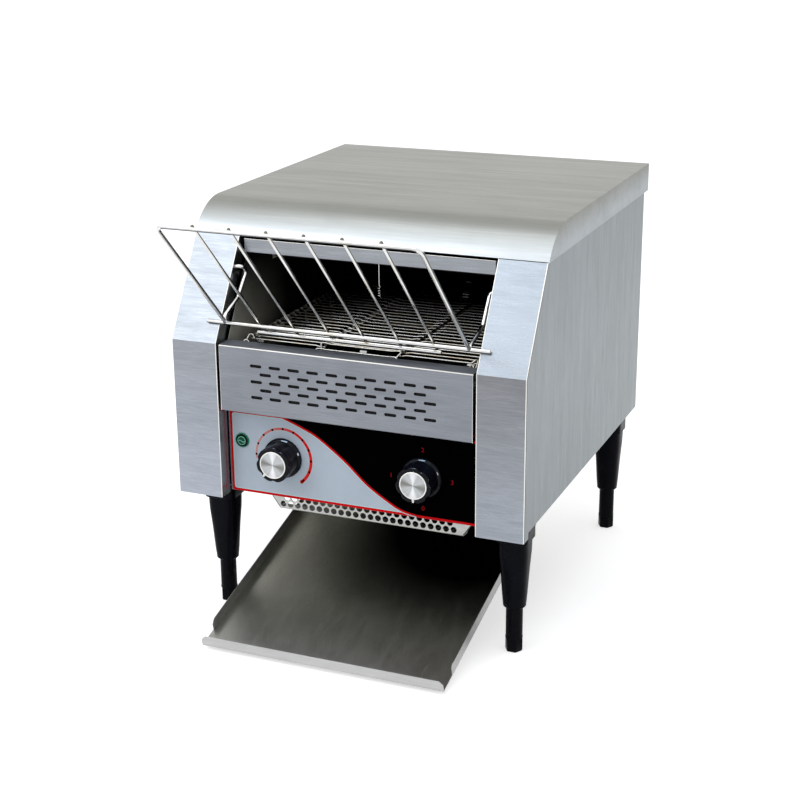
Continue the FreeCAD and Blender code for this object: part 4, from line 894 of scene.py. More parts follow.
def strand_line(pitch):
    """One belt wire: outer lanes, a middle lane one pitch ahead, and hooks round the next wire."""
    aside = belt_wire_radius + 0.05
    past = 2.6
    ease = 5.0
    joint = belt_joint_x
    edge = belt_half_width
    half = [(-edge + 6.5, pitch - 2.6, -aside * 0.6), (-edge + 4.2, pitch + 0.6, 0.2),
            (-edge + 2.2, pitch + 1.7, 1.4), (-edge + 0.4, pitch - 0.2, 2.0),
            (-edge, pitch - 3.6, 1.2), (-edge, 1.2, 0.0), (-edge + 2.4, -aside, 0.0),
            (-joint - past - ease, -aside, 0.0), (-joint - past, -aside, -aside),
            (-joint + past, -aside, -aside), (-joint - past, pitch + aside, aside),
            (-joint + past, pitch + aside, aside), (-joint + past + ease, pitch + aside, 0.0)]
    other = [(-x, s, n) for x, s, n in reversed(half)]
    line = [Vector((x * MM, s * MM, n * MM)) for x, s, n in half + other]
    return rounded_line(line, 1.5 * MM, 3)


def build_belt():
    pitch = belt_loop_length() / belt_strands
    verts, faces = tube(strand_line(pitch), belt_wire_radius * MM, 8, tip=0.4 * MM)
    random.seed(7)
    parts = []
    for index in range(belt_strands):
        sway = Matrix.Translation(Vector((random.uniform(-0.5, 0.5), random.uniform(-0.25, 0.25), 0)) * MM)
        place = belt_matrix(index * pitch) @ sway
        parts.append(([place @ v for v in verts], faces))
    add_form("conveyor_belt", "belt_wires", parts, "belt", 60, instead=True)


# Bread rack

def slant_point(along, proud):
    angle = math.atan2(cover_edge_z - kink_z, cover_edge_y)
    return (along * math.cos(angle) - proud * math.sin(angle),
            kink_z + along * math.sin(angle) + proud * math.cos(angle))


def build_rack():
    rod_y, rod_z = slant_point(rack_rod_along, rack_rod_radius + 0.3)
    half = rack_half_width
    pitch = 2 * half / (rack_wires + 1)
    aside = Vector((rack_play * MM, 0, 0))
    frame_line = [spot(-half, rod_y, rod_z), spot(-half, *rack_top), spot(half, *rack_top),
                  spot(half, rod_y, rod_z)]
    parts = [tube(rounded_line(frame_line, rack_corner_radius * MM, 10), rack_rod_radius * MM, 16)]
    crosses = []
    low_reach = pitch * (rack_wires - 1) / 2 + rack_low_overlap
    for reach, (y, z) in ((rack_rod_half_length, (rod_y, rod_z)), (low_reach, rack_low)):
        parts.append(tube([spot(-reach, y, z), spot(0, y, z), spot(reach, y, z)],
                          rack_rod_radius * MM, 16, tip=0.8 * MM))
    lean = math.atan2(rack_top[1] - rack_low[1], rack_low[0] - rack_top[0])
    lift = rack_rod_radius + rack_wire_radius - weld_sink
    away = (lift * math.sin(lean), lift * math.cos(lean))
    way = (-math.cos(lean), math.sin(lean))
    tips = []
    for index in range(rack_wires):
        x = (index - (rack_wires - 1) / 2) * pitch
        low = spot(x, rack_low[0] + away[0] - way[0] * rack_wire_tail, rack_low[1] + away[1] - way[1] * rack_wire_tail)
        high = spot(x, rack_top[0] + away[0] + way[0] * rack_tip, rack_top[1] + away[1] + way[1] * rack_tip)
        crosses.append(tube([low, (low + high) / 2, high], rack_wire_radius * MM, 14, tip=0.5 * MM))
        end = (high - low).normalized()
        tips.append(tube([high - end * (0.5 * MM), high + end * (0.25 * MM)], (rack_wire_radius + 0.06) * MM, 14,
                         tip=0.5 * MM))
    for side in (-1, 1):
        x = side * half
        line = [spot(x, *place) for place in ((rod_y, rod_z), *hook_lines[side])]
        low_y, low_z = hook_lines[side][-1]
        line.append(spot(x + side * hook_reach, low_y - 1.0, low_z - 1.0))
        parts.append(tube(rounded_line(line, 5.0 * MM, 8), rack_rod_radius * MM, 14, tip=0.8 * MM))
    for name, pieces, material in (("rack_wires", parts, "wire"), ("rack_cross_wires", crosses, "wire_cross"),
                                   ("rack_wire_tips", tips, "wire_tip")):
        shifted = [([v + aside for v in verts], faces) for verts, faces in pieces]
        piece = add_form("bread_rack", name, shifted, material, 50, instead=name == "rack_wires")
        if name == "rack_wires":
            leg_x = (half - rack_corner_radius / 2) * MM
            # Painted shade: the frame's side legs and hooks take the wire with a darker right flank.
            paint(piece, "wire_cross", lambda normal, middle: (
                abs(middle.x) > leg_x and middle.z > (rod_z + 3.0) * MM and abs(normal.x) < 0.999))


# Controls

def knob_ring(radius_scale, height, lobed):
    """One ring of the knob's grip, with its lobes."""
    points = []
    for step in range(knob_steps):
        angle = 2 * math.pi * step / knob_steps
        wave = 0.5 - 0.5 * math.cos(knob_lobes * (angle - math.pi / 2))
        dip = knob_lobe_depth * lobed * wave ** 3
        radius = knob_grip_radius * radius_scale - dip
        points.append((radius, angle, height))
    return points


def plain_ring(radius, height):
    return [(radius, 2 * math.pi * step / knob_steps, height) for step in range(knob_steps)]


def build_knob(node):
    side = -1 if node == "speed_knob" else 1
    centre = spot(side * knob_x, panel_y - knob_gap, knob_z)
    rings = []
    shoulder = knob_grip_radius + 0.35
    flange = [(knob_flange_radius - 0.4, 0.0), (knob_flange_radius, 0.4), (knob_flange_radius, 2.3),
              (knob_flange_radius - 0.12, 2.55), (knob_flange_radius - 0.35, 2.8), (shoulder + 0.3, 3.95),
              (shoulder + 0.1, 4.1), (shoulder, knob_flange_depth)]
    rings += [plain_ring(radius, height) for radius, height in flange]
    for scale, height, lobed in ((1.0, knob_flange_depth + 0.2, 0.5), (0.995, knob_flange_depth + 1.4, 1.0),
                                 (0.99, 14.0, 1.0), (0.985, knob_length - 1.0, 1.0),
                                 (0.975, knob_length - 0.45, 1.0), (0.95, knob_length - 0.12, 0.95),
                                 (0.92, knob_length, 0.9)):
        rings.append(knob_ring(scale, height, lobed))
    for radius, height in ((knob_cap_radius + 0.35, knob_length), (knob_cap_radius + 0.12, knob_length - 0.3),
                           (knob_cap_radius + 0.1, knob_length - 0.8), (1.0, knob_length - 0.8)):
        rings.append(plain_ring(radius, height))
    verts = [centre + Vector((radius * math.cos(angle), -height, radius * math.sin(angle))) * MM
             for ring in rings for radius, angle, height in ring]
    faces = ring_faces(len(rings), knob_steps)
    add_mesh(node, node + "_grip", mesh_from(node + "_grip", verts, faces, 40), "knob", instead=True)
    build_pointer(node, centre)
    build_cap(node + "_cap", centre)


def build_pointer(node, centre):
    """Small white mark on the knob's face, beside the cap."""
    angle = math.radians(pointer_angles_deg[node])
    way = Vector((math.cos(angle), 0, math.sin(angle)))
    aside = Vector((-way.z, 0, way.x))
    inner = centre + way * ((knob_cap_radius + 0.1) * MM)
    outer = centre + way * ((knob_grip_radius - 1.2) * MM)
    verts = []
    for place, half, height in ((inner, 1.25, knob_length + 0.05), (outer, 0.8, knob_length - 0.1)):
        for lift in (0.0, 0.35):
            for sign in (-1, 1):
                verts.append(place + aside * (sign * half * MM) - Vector((0, (height - 0.25 + lift) * MM, 0)))
    faces = [[0, 1, 5, 4], [2, 6, 7, 3], [0, 4, 6, 2], [1, 3, 7, 5], [0, 2, 3, 1], [4, 5, 7, 6]]
    add_mesh(node, node + "_mark", mesh_from(node + "_mark", verts, faces), "pointer")


def build_cap(node, centre):
    material = "speed_cap" if node == "speed_knob_cap" else "selector_cap"
    profile = [(knob_cap_radius - 0.05, knob_length - 0.75), (knob_cap_radius, knob_length + 0.2),
               (knob_cap_radius - 0.25, knob_length + 0.48), (knob_cap_radius - 0.9, knob_length + 0.5),
               (knob_cap_radius - 1.15, knob_length + 0.36), (6.0, knob_length + 0.30), (1.4, knob_length + 0.28),
               (0.5, knob_length + 0.2)]
    piece = add_form(node, node + "_disc", [turned(profile, centre, (0, -1, 0), 128)], material, 50, instead=True)
    # Painted highlight: the cap's rim takes the bright fold steel.
    rim = (knob_cap_radius - 1.1) * MM
    paint(piece, "edge", lambda normal, middle: (Vector((middle.x - centre.x, middle.z - centre.z)).length > rim))


def build_lamp():
    """Green bezel, a black seal and a lens with a pale raised ring and bar of painted reflection."""
    centre = spot(lamp_x, panel_y, lamp_z)
    forward = (0, -1, 0)
    ring = [(7.6, 0.0), (7.6, 0.7), (7.4, 1.2), (7.0, 1.45), (6.7, 1.4), (6.55, 0.9), (6.5, 0.2)]
    add_form("lamp_bezel", "lamp_ring", [turned(ring, centre, forward, 72)], "lamp_ring", 50, instead=True)
    black = [(6.65, 0.2), (6.65, 1.2), (6.1, 1.45), (5.2, 1.4), (4.9, 0.9), (4.85, 0.2)]
    add_form("lamp_bezel", "lamp_seal", [turned(black, centre, forward, 72)], "lamp_black", 50)
    lens = [(4.85, 0.3), (4.85, 1.9), (4.55, 2.3), (3.8, 2.4), (3.2, 2.1), (2.4, 2.05), (1.9, 2.3), (0.9, 2.5),
            (0.2, 2.52)]
    add_form("lamp_lens", "lamp_glass", [turned(lens, centre, forward, 72)], "lens", 60, instead=True)
    # Painted reflection: a pale ring and bar stand in for a highlight on the lens.
    loop = []
    bar = []
    for step in range(48):
        angle = 2 * math.pi * step / 48
        loop.append(centre + Vector((4.2 * math.cos(angle), -2.25, 4.2 * math.sin(angle))) * MM)
    for step in range(9):
        share = step / 8 - 0.5
        bar.append(centre + Vector((6.6 * share, -2.5, 0.9 * math.sin(-2 * math.pi * share) - 0.4)) * MM)
    parts = [tube(loop, 0.27 * MM, 8, closed=True), tube(bar, 0.3 * MM, 8, tip=0.2 * MM)]
    add_form("lamp_lens", "lamp_lens_painted_reflection", parts, "lamp_pale", 60)


# Printed panel

def curve_points(points, steps=10):
    """Smooth line through points, by the rule of passing each with its neighbours' direction."""
    points = [Vector((x, z, 0)) for x, z in points]
    line = []
    for index in range(len(points) - 1):
        before = points[max(index - 1, 0)]
        first, second = points[index], points[index + 1]
        after = points[min(index + 2, len(points) - 1)]
        for step in range(steps):
            t = step / steps
            a = (second - before) / 2
            b = (after - first) / 2
            spot_on = ((2 * t ** 3 - 3 * t ** 2 + 1) * first + (t ** 3 - 2 * t ** 2 + t) * a
                       + (-2 * t ** 3 + 3 * t ** 2) * second + (t ** 3 - t ** 2) * b)
            line.append((spot_on.x, spot_on.y))
    line.append((points[-1].x, points[-1].y))
    return line


def offset_line(line, distance):
    """The same line moved to its left by a distance."""
    moved_line = []
    for index, (x, z) in enumerate(line):
        x0, z0 = line[max(index - 1, 0)]
        x1, z1 = line[min(index + 1, len(line) - 1)]
        length = math.hypot(x1 - x0, z1 - z0)
        moved_line.append((x - (z1 - z0) / length * distance, z + (x1 - x0) / length * distance))
    return moved_line


def lay_print(name, outlines, material, level, thickness=0.05):
    """A film of print on the panel. Its level is its height above the plate."""
    mesh = flat_shape(name, outlines, thickness)
    moved(mesh, 0, panel_y - level - thickness / 2, 0)
    return add_mesh("control_panel", name, mesh, material)


wave_points = ((-104.0, 230.6), (-86.0, 227.6), (-69.6, 221.8), (-52.5, 215.4), (-34.9, 207.0), (-7.0, 186.6),
               (16.5, 165.4), (40.7, 149.7), (54.3, 143.4), (70.0, 140.6))


def build_panel():
    dress("control_panel", "front", 0.2)
    x0, x1 = -panel_half_width + 1.5, panel_half_width - 0.3
    z0, z1 = panel_bottom_z + 0.2, panel_top_z - 0.3
    holes = [circle(-knob_x, knob_z, spindle_hole_radius, 32), circle(knob_x, knob_z, spindle_hole_radius, 32),
             circle(lamp_x, lamp_z, lamp_hole_radius, 32)]
    edge = rounded_box(x0, x1, z0, z1, 2.5)
    lay_print("panel_red_field", [edge] + holes, "red_print", 0.02)
    line = print_red_border
    grey_in = print_red_border + print_pale_border
    inner = rounded_box(x0 + line, x1 - line, z0 + line, print_top_z, 2.4)
    lay_print("panel_pale_field", [inner] + holes, "cyan_print", 0.08)
    grey = rounded_box(x0 + grey_in, x1 - grey_in, z0 + grey_in, print_top_z - print_pale_border, 2.0)
    lay_print("panel_grey_field", [grey] + holes, "grey_print", 0.14)
    wave = curve_points(wave_points, 10)
    right = x1 + 0.1
    low = z0 + line
    high = print_black_top_z
    black = [p for p in wave if low <= p[1] <= high]
    black = [(black[0][0] - 2, high)] + black + [(black[-1][0] + 4, low), (right, low), (right, high)]
    lay_print("panel_black_field", [black, holes[1]], "black_print", 0.20)
    strip = [p for p in wave if low - 1 <= p[1] <= high + 1]
    lay_print("panel_wave_line", [offset_line(strip, 1.0) + offset_line(strip, -1.0)[::-1]], "red_print", 0.26)
    lay_print("panel_wave_edge", [offset_line(strip, -1.0) + offset_line(strip, -1.75)[::-1]], "cyan_print", 0.26)
    build_dial()
    build_numerals()


def build_dial():
    """Red arc round the speed knob that widens clockwise, with a pale rim and black dots."""
    outer = []
    inner = []
    outer_rim = []
    inner_rim = []
    steps = 90

    def place(radius, angle):
        return dial_x + radius * math.cos(angle), knob_z + radius * math.sin(angle)

    for step in range(steps + 1):
        share = step / steps
        angle = math.radians(dial_start_deg + (dial_end_deg - dial_start_deg) * share)
        width = dial_line_width + dial_line_growth * share
        outer.append(place(dial_radius + width / 2, angle))
        inner.append(place(dial_radius - width / 2, angle))
        outer_rim.append(place(dial_radius + width / 2 + dial_rim, angle))
        inner_rim.append(place(dial_radius - width / 2 - dial_rim, angle))
    end = place(dial_radius, math.radians(dial_end_deg))
    lay_print("dial_arc_rim", [outer_rim + inner_rim[::-1]], "cyan_print", 0.20)
    lay_print("dial_arc_rim_end", [circle(*end, 2.2, 24)], "cyan_print", 0.20)
    lay_print("dial_arc", [outer + inner[::-1]], "dial_print", 0.26)
    lay_print("dial_arc_end", [circle(*end, 1.7, 24)], "dial_print", 0.26)
    for index in range(dial_ticks):
        x, z = place(dial_radius, math.radians(180.0 - index * 22.5))
        lay_print(f"dial_tick_{index:02d}", [circle(x, z, 1.2, 16)], "black_print", 0.34)


def build_numerals():
    for digit, (x, z) in numeral_places.items():
        curve = bpy.data.curves.new("numeral_" + digit, "FONT")
        curve.body = digit
        curve.size = numeral_size * MM
        curve.align_x = "CENTER"
        curve.align_y = "CENTER"
        curve.extrude = 0.03 * MM
        mesh = curve_mesh("numeral_" + digit, curve)
        moved(mesh, x, panel_y - 0.30, z, math.pi / 2)
        add_mesh("control_panel", "numeral_" + digit, mesh, "dark_red_print")


# Front sheets

def slot_outline(x, z, length=12.5, height=3.1, steps=6):
    radius = height / 2
    reach = length / 2 - radius
    points = []
    for side, start in ((1, -90), (-1, 90)):
        for step in range(steps + 1):
            angle = math.radians(start + 180 * step / steps)
            points.append((x + side * reach + radius * math.cos(angle), z + radius * math.sin(angle)))
    return points


def build_vent():
    """Slotted front sheet with rounded folds at its top and bottom."""
    fold = 1.4
    inset = 0.05
    x0, x1 = -front_half_width, front_half_width
    middle = (vent_top_z + vent_bottom_z) / 2
    outlines = [[(x0, vent_bottom_z + fold), (x1, vent_bottom_z + fold), (x1, vent_top_z - fold),
                 (x0, vent_top_z - fold)]]
    for row in range(slot_rows):
        count = slots_in_row - row % 2
        for index in range(count):
            outlines.append(slot_outline((index - (count - 1) / 2) * slot_pitch + slot_shift,
                                         middle + ((slot_rows - 1) / 2 - row) * slot_row_pitch))
    face = flat_shape("vent_face", outlines, sheet)
    moved(face, 0, sheet / 2 + inset, 0)
    parts = []
    for top in (True, False):
        sign = 1 if top else -1
        end = vent_top_z if top else vent_bottom_z
        reach = 20.0 if top else panel_y
        outer = []
        inner = []
        for step in range(7):
            angle = math.pi / 2 * step / 6
            outer.append((inset + fold - fold * math.cos(angle), end - sign * (fold - fold * math.sin(angle))))
            inner.append((inset + fold - (fold - sheet) * math.cos(angle),
                          end - sign * (fold - (fold - sheet) * math.sin(angle))))
        outer.append((reach, end))
        inner.append((reach, end - sign * sheet))
        parts.append(swept(outer + inner[::-1], x0, x1))
    folds = with_folds("vent_folds", face, parts, 0.00001)
    piece = add_mesh("vent_panel", "vent_sheet", folds, "front", instead=True)
    high, low = (vent_top_z - 0.2) * MM, (vent_bottom_z + 0.2) * MM
    # Painted highlight: the sheet's ends, its slot walls and its upper fold take the bright fold steel.
    paint(piece, "edge", lambda normal, middle: (
        abs(normal.x) > 0.9 or (abs(normal.y) < 0.3 and low < middle.z < high and middle.y < front_y + sheet * MM)
        or (normal.y < -0.15 and normal.z > 0.15)))
    paint(piece, "vent_flange", lambda normal, middle: normal.z > 0.9 and middle.z > high)


def build_vent_shade_screen():
    """Black screen close behind the slots."""
    # Painted shade: a black sheet stands where the slots show only the shade inside.
    middle = (vent_top_z + vent_bottom_z) / 2
    mesh = flat_shape("vent_screen", [rounded_box(*vent_screen_x, middle - vent_screen_half_height,
                                                 middle + vent_screen_half_height, 3.0)], 0.4)
    moved(mesh, 0, sheet + 1.0, 0)
    add_mesh("vent_panel", "vent_screen", mesh, "seam")


def build_guard():
    """Perforated apron with a folded foot, a folded head and a wing at each end."""
    height = guard_top_z - guard_bottom_z
    top_half = guard_bottom_half + height * guard_slope_share
    hem = 1.0
    outline = [(-guard_bottom_half, guard_bottom_z + hem), (guard_bottom_half, guard_bottom_z + hem),
               (top_half, guard_top_z), (-top_half, guard_top_z)]
    outlines = [outline]
    row_pitch = guard_hole_pitch * math.cos(math.pi / 6)
    for row in range(guard_rows):
        count = guard_holes - row % 2
        for index in range(count):
            x = (index - (count - 1) / 2) * guard_hole_pitch + guard_hole_shift
            outlines.append(circle(x, guard_row_z + row * row_pitch, guard_hole_radius, 18))
    face = flat_shape("guard_face", outlines, guard_sheet)
    moved(face, 0, guard_y + guard_sheet / 2, 0)
    bend = []
    for step in range(6):
        angle = math.pi / 2 * step / 5
        bend.append((guard_y + hem - hem * math.cos(angle), guard_bottom_z + hem - hem * math.sin(angle)))
    bend.append((guard_y + guard_flange, guard_bottom_z))
    inner = [(guard_y + guard_flange, guard_bottom_z + guard_sheet), (guard_y + hem, guard_bottom_z + guard_sheet),
             (guard_y + guard_sheet, guard_bottom_z + hem)]
    profile = bend + inner
    parts = [swept(profile, -guard_bottom_half, guard_bottom_half)]
    head = [(guard_y, guard_top_z), (guard_y + guard_flange, guard_top_z),
            (guard_y + guard_flange, guard_top_z - guard_sheet), (guard_y, guard_top_z - guard_sheet)]
    parts.append(swept(head, -top_half, top_half))
    for side in (-1, 1):
        low = Vector((side * guard_bottom_half, guard_y, guard_bottom_z + hem))
        high = Vector((side * top_half, guard_y, guard_top_z))
        slope = (high - low).normalized()
        thick = Vector((slope.z, 0, -slope.x)) * (-side * guard_sheet)
        if thick.x * side > 0:
            thick = -thick
        back = Vector((0, guard_flange, 0))
        corners = [low, high, high + back, low + back]
        verts = [spot(*c) for c in corners] + [spot(*(c + thick)) for c in corners]
        faces = [[0, 1, 2, 3], [7, 6, 5, 4]] + [[i, 4 + i, 4 + (i + 1) % 4, (i + 1) % 4] for i in range(4)]
        parts.append((verts, faces))
    folds = with_folds("guard_folds", face, parts)
    add_mesh("lower_guard", "guard_sheet", folds, "guard", instead=True)


def build_edges():
    """Rounded fold lines of the columns, the vent, the header and the brow, in bright steel as a painted highlight."""
    sink = 0.35
    radius = 0.55 * MM
    for side, name in ((-1, "left"), (1, "right")):
        low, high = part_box("side_panel_" + name)
        inner, outer = low.x / MM, high.x / MM
        if side < 0:
            inner, outer = high.x / MM, low.x / MM
        bottom = low.z / MM
        parts = []
        for x in (outer - side * sink, inner + side * sink)[:: side][: 1 if side < 0 else 2]:
            line = [spot(x, sink, bottom + 0.6), spot(x, sink, kink_z), spot(x, cover_edge_y + 0.2, cover_edge_z - 0.6)]
            parts.append(tube(rounded_line(line, 2.0 * MM, 4), radius, 10))
        node = "side_panel_" + name
        add_form(node, "column_folds_" + name, parts, "edge", 60)
    parts = []
    for x in (-cover_fold_x, cover_fold_x):
        parts.append(tube([spot(x, y + 0.3, z - 0.45) for y, z in brow_line], 0.5 * MM, 10))
    add_form("top_cover", "cover_folds", parts, "edge", 60)
    x = front_half_width - 0.3
    rim = [spot(-x, 0.45, vent_bottom_z + 0.4), spot(-x, 0.45, vent_top_z - 0.5), spot(x, 0.45, vent_top_z - 0.5),
           spot(x, 0.45, vent_bottom_z + 0.4)]
    add_form("vent_panel", "vent_rim", [tube(rim, 0.5 * MM, 8)], "edge", 60)
    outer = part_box("side_panel_right")[1].x / MM
    seam = [spot(outer - 0.05, 1.5, column_seam_bottom_z), spot(outer - 0.05, 1.5, kink_z - 0.3),
            spot(outer - 0.05, cover_edge_y + 0.9, cover_edge_z - 1.0)]
    add_form("side_panel_right", "column_seam", [tube(seam, 0.28 * MM, 8)], "seam", 60)
    low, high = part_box("header_strip")
    high.z -= header_drop * MM
    lip = [Vector((low.x + 0.5 * MM, low.y + 0.35 * MM, high.z - 0.35 * MM)),
           Vector((high.x - 0.5 * MM, low.y + 0.35 * MM, high.z - 0.35 * MM))]
    add_form("header_strip", "header_fold", [tube(lip, 0.5 * MM, 8)], "edge", 60)


# Legs and feet

def round_square(half, squareness, steps=64):
    """Outline between a circle and a square. A squareness of 2 is a circle."""
    points = []
    for step in range(steps):
        angle = 2 * math.pi * (step + 0.5) / steps
        c, s = math.cos(angle), math.sin(angle)
        reach = half / (abs(c) ** squareness + abs(s) ** squareness) ** (1 / squareness)
        points.append((reach * c, reach * s))
    return points


def stacked(centre, levels, steps=64):
    """Closed form through outlines at different heights. A level is its height, half width and squareness."""
    verts = [spot(centre[0] + x, centre[1] + y, z) for z, half, squareness in levels
             for x, y in round_square(half, squareness, steps)]
    return verts, ring_faces(len(levels), steps)


def build_legs():
    for place, centre in leg_spots.items():
        node = "leg_" + place
        levels = [(sleeve_step_z, 9.4, 2.0), (sleeve_step_z, sleeve_step_half - 0.6, 2.1),
                  (sleeve_step_z + 0.6, sleeve_step_half, 2.1),
                  (sleeve_step_z + 2.4, sleeve_step_half + 0.1, 2.12), (60.0, sleeve_step_half + 0.8, 2.3),
                  (85.0, 13.4, 2.8), (105.0, 14.7, 3.4), (collar_bottom_z - 1.0, sleeve_top_half - 0.1, 3.8),
                  (collar_bottom_z - 0.2, sleeve_top_half, 4.0),
                  (collar_bottom_z, sleeve_top_half + 0.1, 5.0), (collar_bottom_z, collar_half - 0.5, 7.0),
                  (collar_bottom_z + 0.6, collar_half, 7.5), (leg_top_z - 0.5, collar_half, 7.5),
                  (leg_top_z, collar_half - 0.5, 7.5)]
        add_form(node, node + "_sleeve", [stacked(centre, levels)], "leg", 40, instead=True)
        node = "foot_" + place
        steps = 96
        levels = [(0.0, 0.93, 1), (0.9, 1.0, 1), (foot_hex_height - 0.6, 1.0, 1), (foot_hex_height, 0.97, 1),
                  (foot_hex_height, 1.0, 0), (foot_hex_height + 0.5, 1.0, 0), (foot_hex_height + 0.6, 1.035, 0),
                  (foot_hex_height + 2.2, 1.035, 0), (foot_hex_height + 2.4, 1.0, 0),
                  (sleeve_step_z + 12.0, 1.0, 0)]
        verts = []
        for z, scale, hexed in levels:
            for step in range(steps):
                angle = 2 * math.pi * step / steps
                radius = (foot_radius - 0.25) * scale
                if hexed:
                    local = (angle + math.pi / 6) % (math.pi / 3) - math.pi / 6
                    radius = min(foot_hex_half / math.cos(local), foot_hex_half * 1.11) * scale
                turn = angle + math.pi / 6
                verts.append(spot(centre[0] + radius * math.cos(turn), centre[1] + radius * math.sin(turn), z))
        faces = ring_faces(len(levels), steps)
        add_mesh(node, node + "_screw", mesh_from(node + "_screw", verts, faces, 40), "foot", instead=True)


# Small pieces

def build_hanger():
    """Thin rod over the belt whose lower end is coiled."""
    line = []
    turns = 4
    steps = 16
    for step in range(turns * steps + 1):
        angle = 2 * math.pi * step / steps
        z = hanger_low_z + (hanger_coil_z - hanger_low_z) * step / (turns * steps)
        line.append(spot(hanger_coil_radius * math.cos(angle), hanger_y + hanger_coil_radius * math.sin(angle), z))
    line += [spot(0.7, hanger_y, hanger_coil_z + 1.2), spot(0, hanger_y, hanger_coil_z + 2.4),
             spot(0, hanger_y, (hanger_coil_z + hanger_top_z) / 2), spot(0, hanger_y, hanger_top_z)]
    parts = [tube(line, hanger_wire_radius * MM, 8)]
    add_form("heater_hanger", "hanging_rod", parts, "wire", 60, instead=True)


def build_studs():
    """Short dark pegs beside the rack's hooks, clear of the wires as the rack lifts."""
    piece = dress("hook_studs", "stud")
    points = piece.data.vertices
    middle_y = (min(v.co.y for v in points) + max(v.co.y for v in points)) / 2
    middle_z = (min(v.co.z for v in points) + max(v.co.z for v in points)) / 2
    for vertex in points:
        y, z = vertex.co.y - middle_y, vertex.co.z - middle_z
        reach = math.hypot(y, z)
        if reach > stud_pin_radius * MM and abs(vertex.co.x) < stud_head_x * MM:
            vertex.co.y = middle_y + y * stud_pin_radius * MM / reach
            vertex.co.z = middle_z + z * stud_pin_radius * MM / reach
        if abs(vertex.co.x) < stud_reach * MM:
            vertex.co.x = math.copysign(stud_reach * MM, vertex.co.x)


def screw_head(centre, way, radius, height):
    """Pan head with a crossed recess, on a thin washer."""
    profile = [(radius + 0.9, 0.0), (radius + 0.9, 0.5), (radius + 0.1, 0.52), (radius, 0.9)]
    for step in range(1, 7):
        angle = math.pi / 2 * step / 6
        profile.append((radius * (0.34 + 0.66 * math.cos(angle)), 0.9 + (height - 0.9) * math.sin(angle)))
    verts, faces = turned(profile, centre, way, 36)
    parts = [(verts, faces)]
    way = Vector(way).normalized()
    side = way.orthogonal().normalized()
    for spoke in (side, way.cross(side)):
        other = way.cross(spoke)
        corners = []
        for depth in (height - 0.7, height + 0.02):
            for a, b in ((-1, -1), (1, -1), (1, 1), (-1, 1)):
                corners.append(centre + way * (depth * MM) + spoke * (a * radius * 0.55 * MM)
                               + other * (b * 0.32 * MM))
        parts.append((corners, [[3, 2, 1, 0], [4, 5, 6, 7], [0, 1, 5, 4], [1, 2, 6, 5], [2, 3, 7, 6], [3, 0, 4, 7]]))
    return parts


def build_screws():
    heads = []
    marks = []
    low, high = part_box("back_screws")
    xs = (low.x + screw_inset * MM, high.x - screw_inset * MM)
    rows = 4
    for x in xs:
        for index in range(rows):
            z = low.z + screw_inset * MM + index * (high.z - low.z - 2 * screw_inset * MM) / (rows - 1)
            parts = screw_head(Vector((x, low.y, z)), (0, 1, 0), 3.4, 2.4)
            heads.append(parts[0])
            marks += parts[1:]
    add_form("back_screws", "panel_screws", heads, "screw", 50, instead=True)
    # Painted shade: the recesses take the near-black chamber steel.
    add_form("back_screws", "panel_screw_recesses", marks, "chamber", 50)


def build_gland():
    """Moulded inlet at the rear with a domed nut and an empty bore."""
    low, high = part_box("cable_gland")
    centre = Vector(((low.x + high.x) / 2, low.y, (low.z + high.z) / 2))
    length = (high.y - low.y) / MM
    flange = length - 19.0
    profile = [(4.2, 0.0), (8.6, 0.0), (8.9, 0.6), (8.9, flange), (12.4, flange), (12.5, flange + 0.6),
               (12.5, flange + 2.6), (12.0, flange + 3.0), (9.6, flange + 3.1), (9.6, length - 5.0),
               (9.0, length - 2.0), (7.4, length - 0.4), (6.2, length), (4.4, length), (4.2, length - 0.4)]
    verts, faces = turned(profile, centre, (0, 1, 0), 72, closed=True)
    add_form("cable_gland", "inlet_gland", [(verts, faces)], "inner_plastic", 35, instead=True)


def build_inner_pieces():
    """Materials of the nodes that keep their own shape."""
    finishes = {
        "inner": ("base_pan", "tray_rests", "tray_hanger", "motor_bracket"),
        # The chamber's inner sheets take near-black steel as painted shade.
        "chamber": ("upper_reflector", "heat_shield", "toast_chute", "lower_reflector"),
        "shaft": ("leg_nuts", "drive_shaft", "idler_shaft", "drive_chain", "drive_sprocket",
                  "motor_sprocket", "motor_shaft", "speed_spindle", "selector_spindle"),
        "heater": ("upper_heaters", "lower_heaters"),
        "ceramic": ("heater_caps",),
        "bronze": ("shaft_bushes",),
        "motor": ("gear_motor",),
        "inner_plastic": ("fan_frame", "fan_rotor", "speed_controller", "selector_switch"),
        "terminal": ("terminal_block",),
    }
    for material, nodes in finishes.items():
        for node in nodes:
            finish_node(node, material)


# Stage

def build_world():
    """Even light from all sides. The camera and mirrors see plain white instead."""
    world = bpy.data.worlds.new("studio")
    bpy.context.scene.world = world
    world.use_nodes = True
    nodes = world.node_tree.nodes
    links = world.node_tree.links

    def higher(first, second):
        node = nodes.new("ShaderNodeMath")
        node.operation = "MAXIMUM"
        links.new(first, node.inputs[0])
        links.new(second, node.inputs[1])
        return node.outputs[0]

    path = nodes.new("ShaderNodeLightPath").outputs
    light = nodes["Background"]
    light.inputs["Color"].default_value = (*world_colour, 1)
    light.inputs["Strength"].default_value = world_level
    white = nodes.new("ShaderNodeBackground")
    white.inputs["Color"].default_value = (1, 1, 1, 1)
    white.inputs["Strength"].default_value = background_level
    blend = nodes.new("ShaderNodeMixShader")
    links.new(higher(path["Is Camera Ray"], higher(path["Is Glossy Ray"], path["Is Transmission Ray"])),
              blend.inputs[0])
    links.new(light.outputs[0], blend.inputs[1])
    links.new(white.outputs[0], blend.inputs[2])
    links.new(blend.outputs[0], nodes["World Output"].inputs["Surface"])


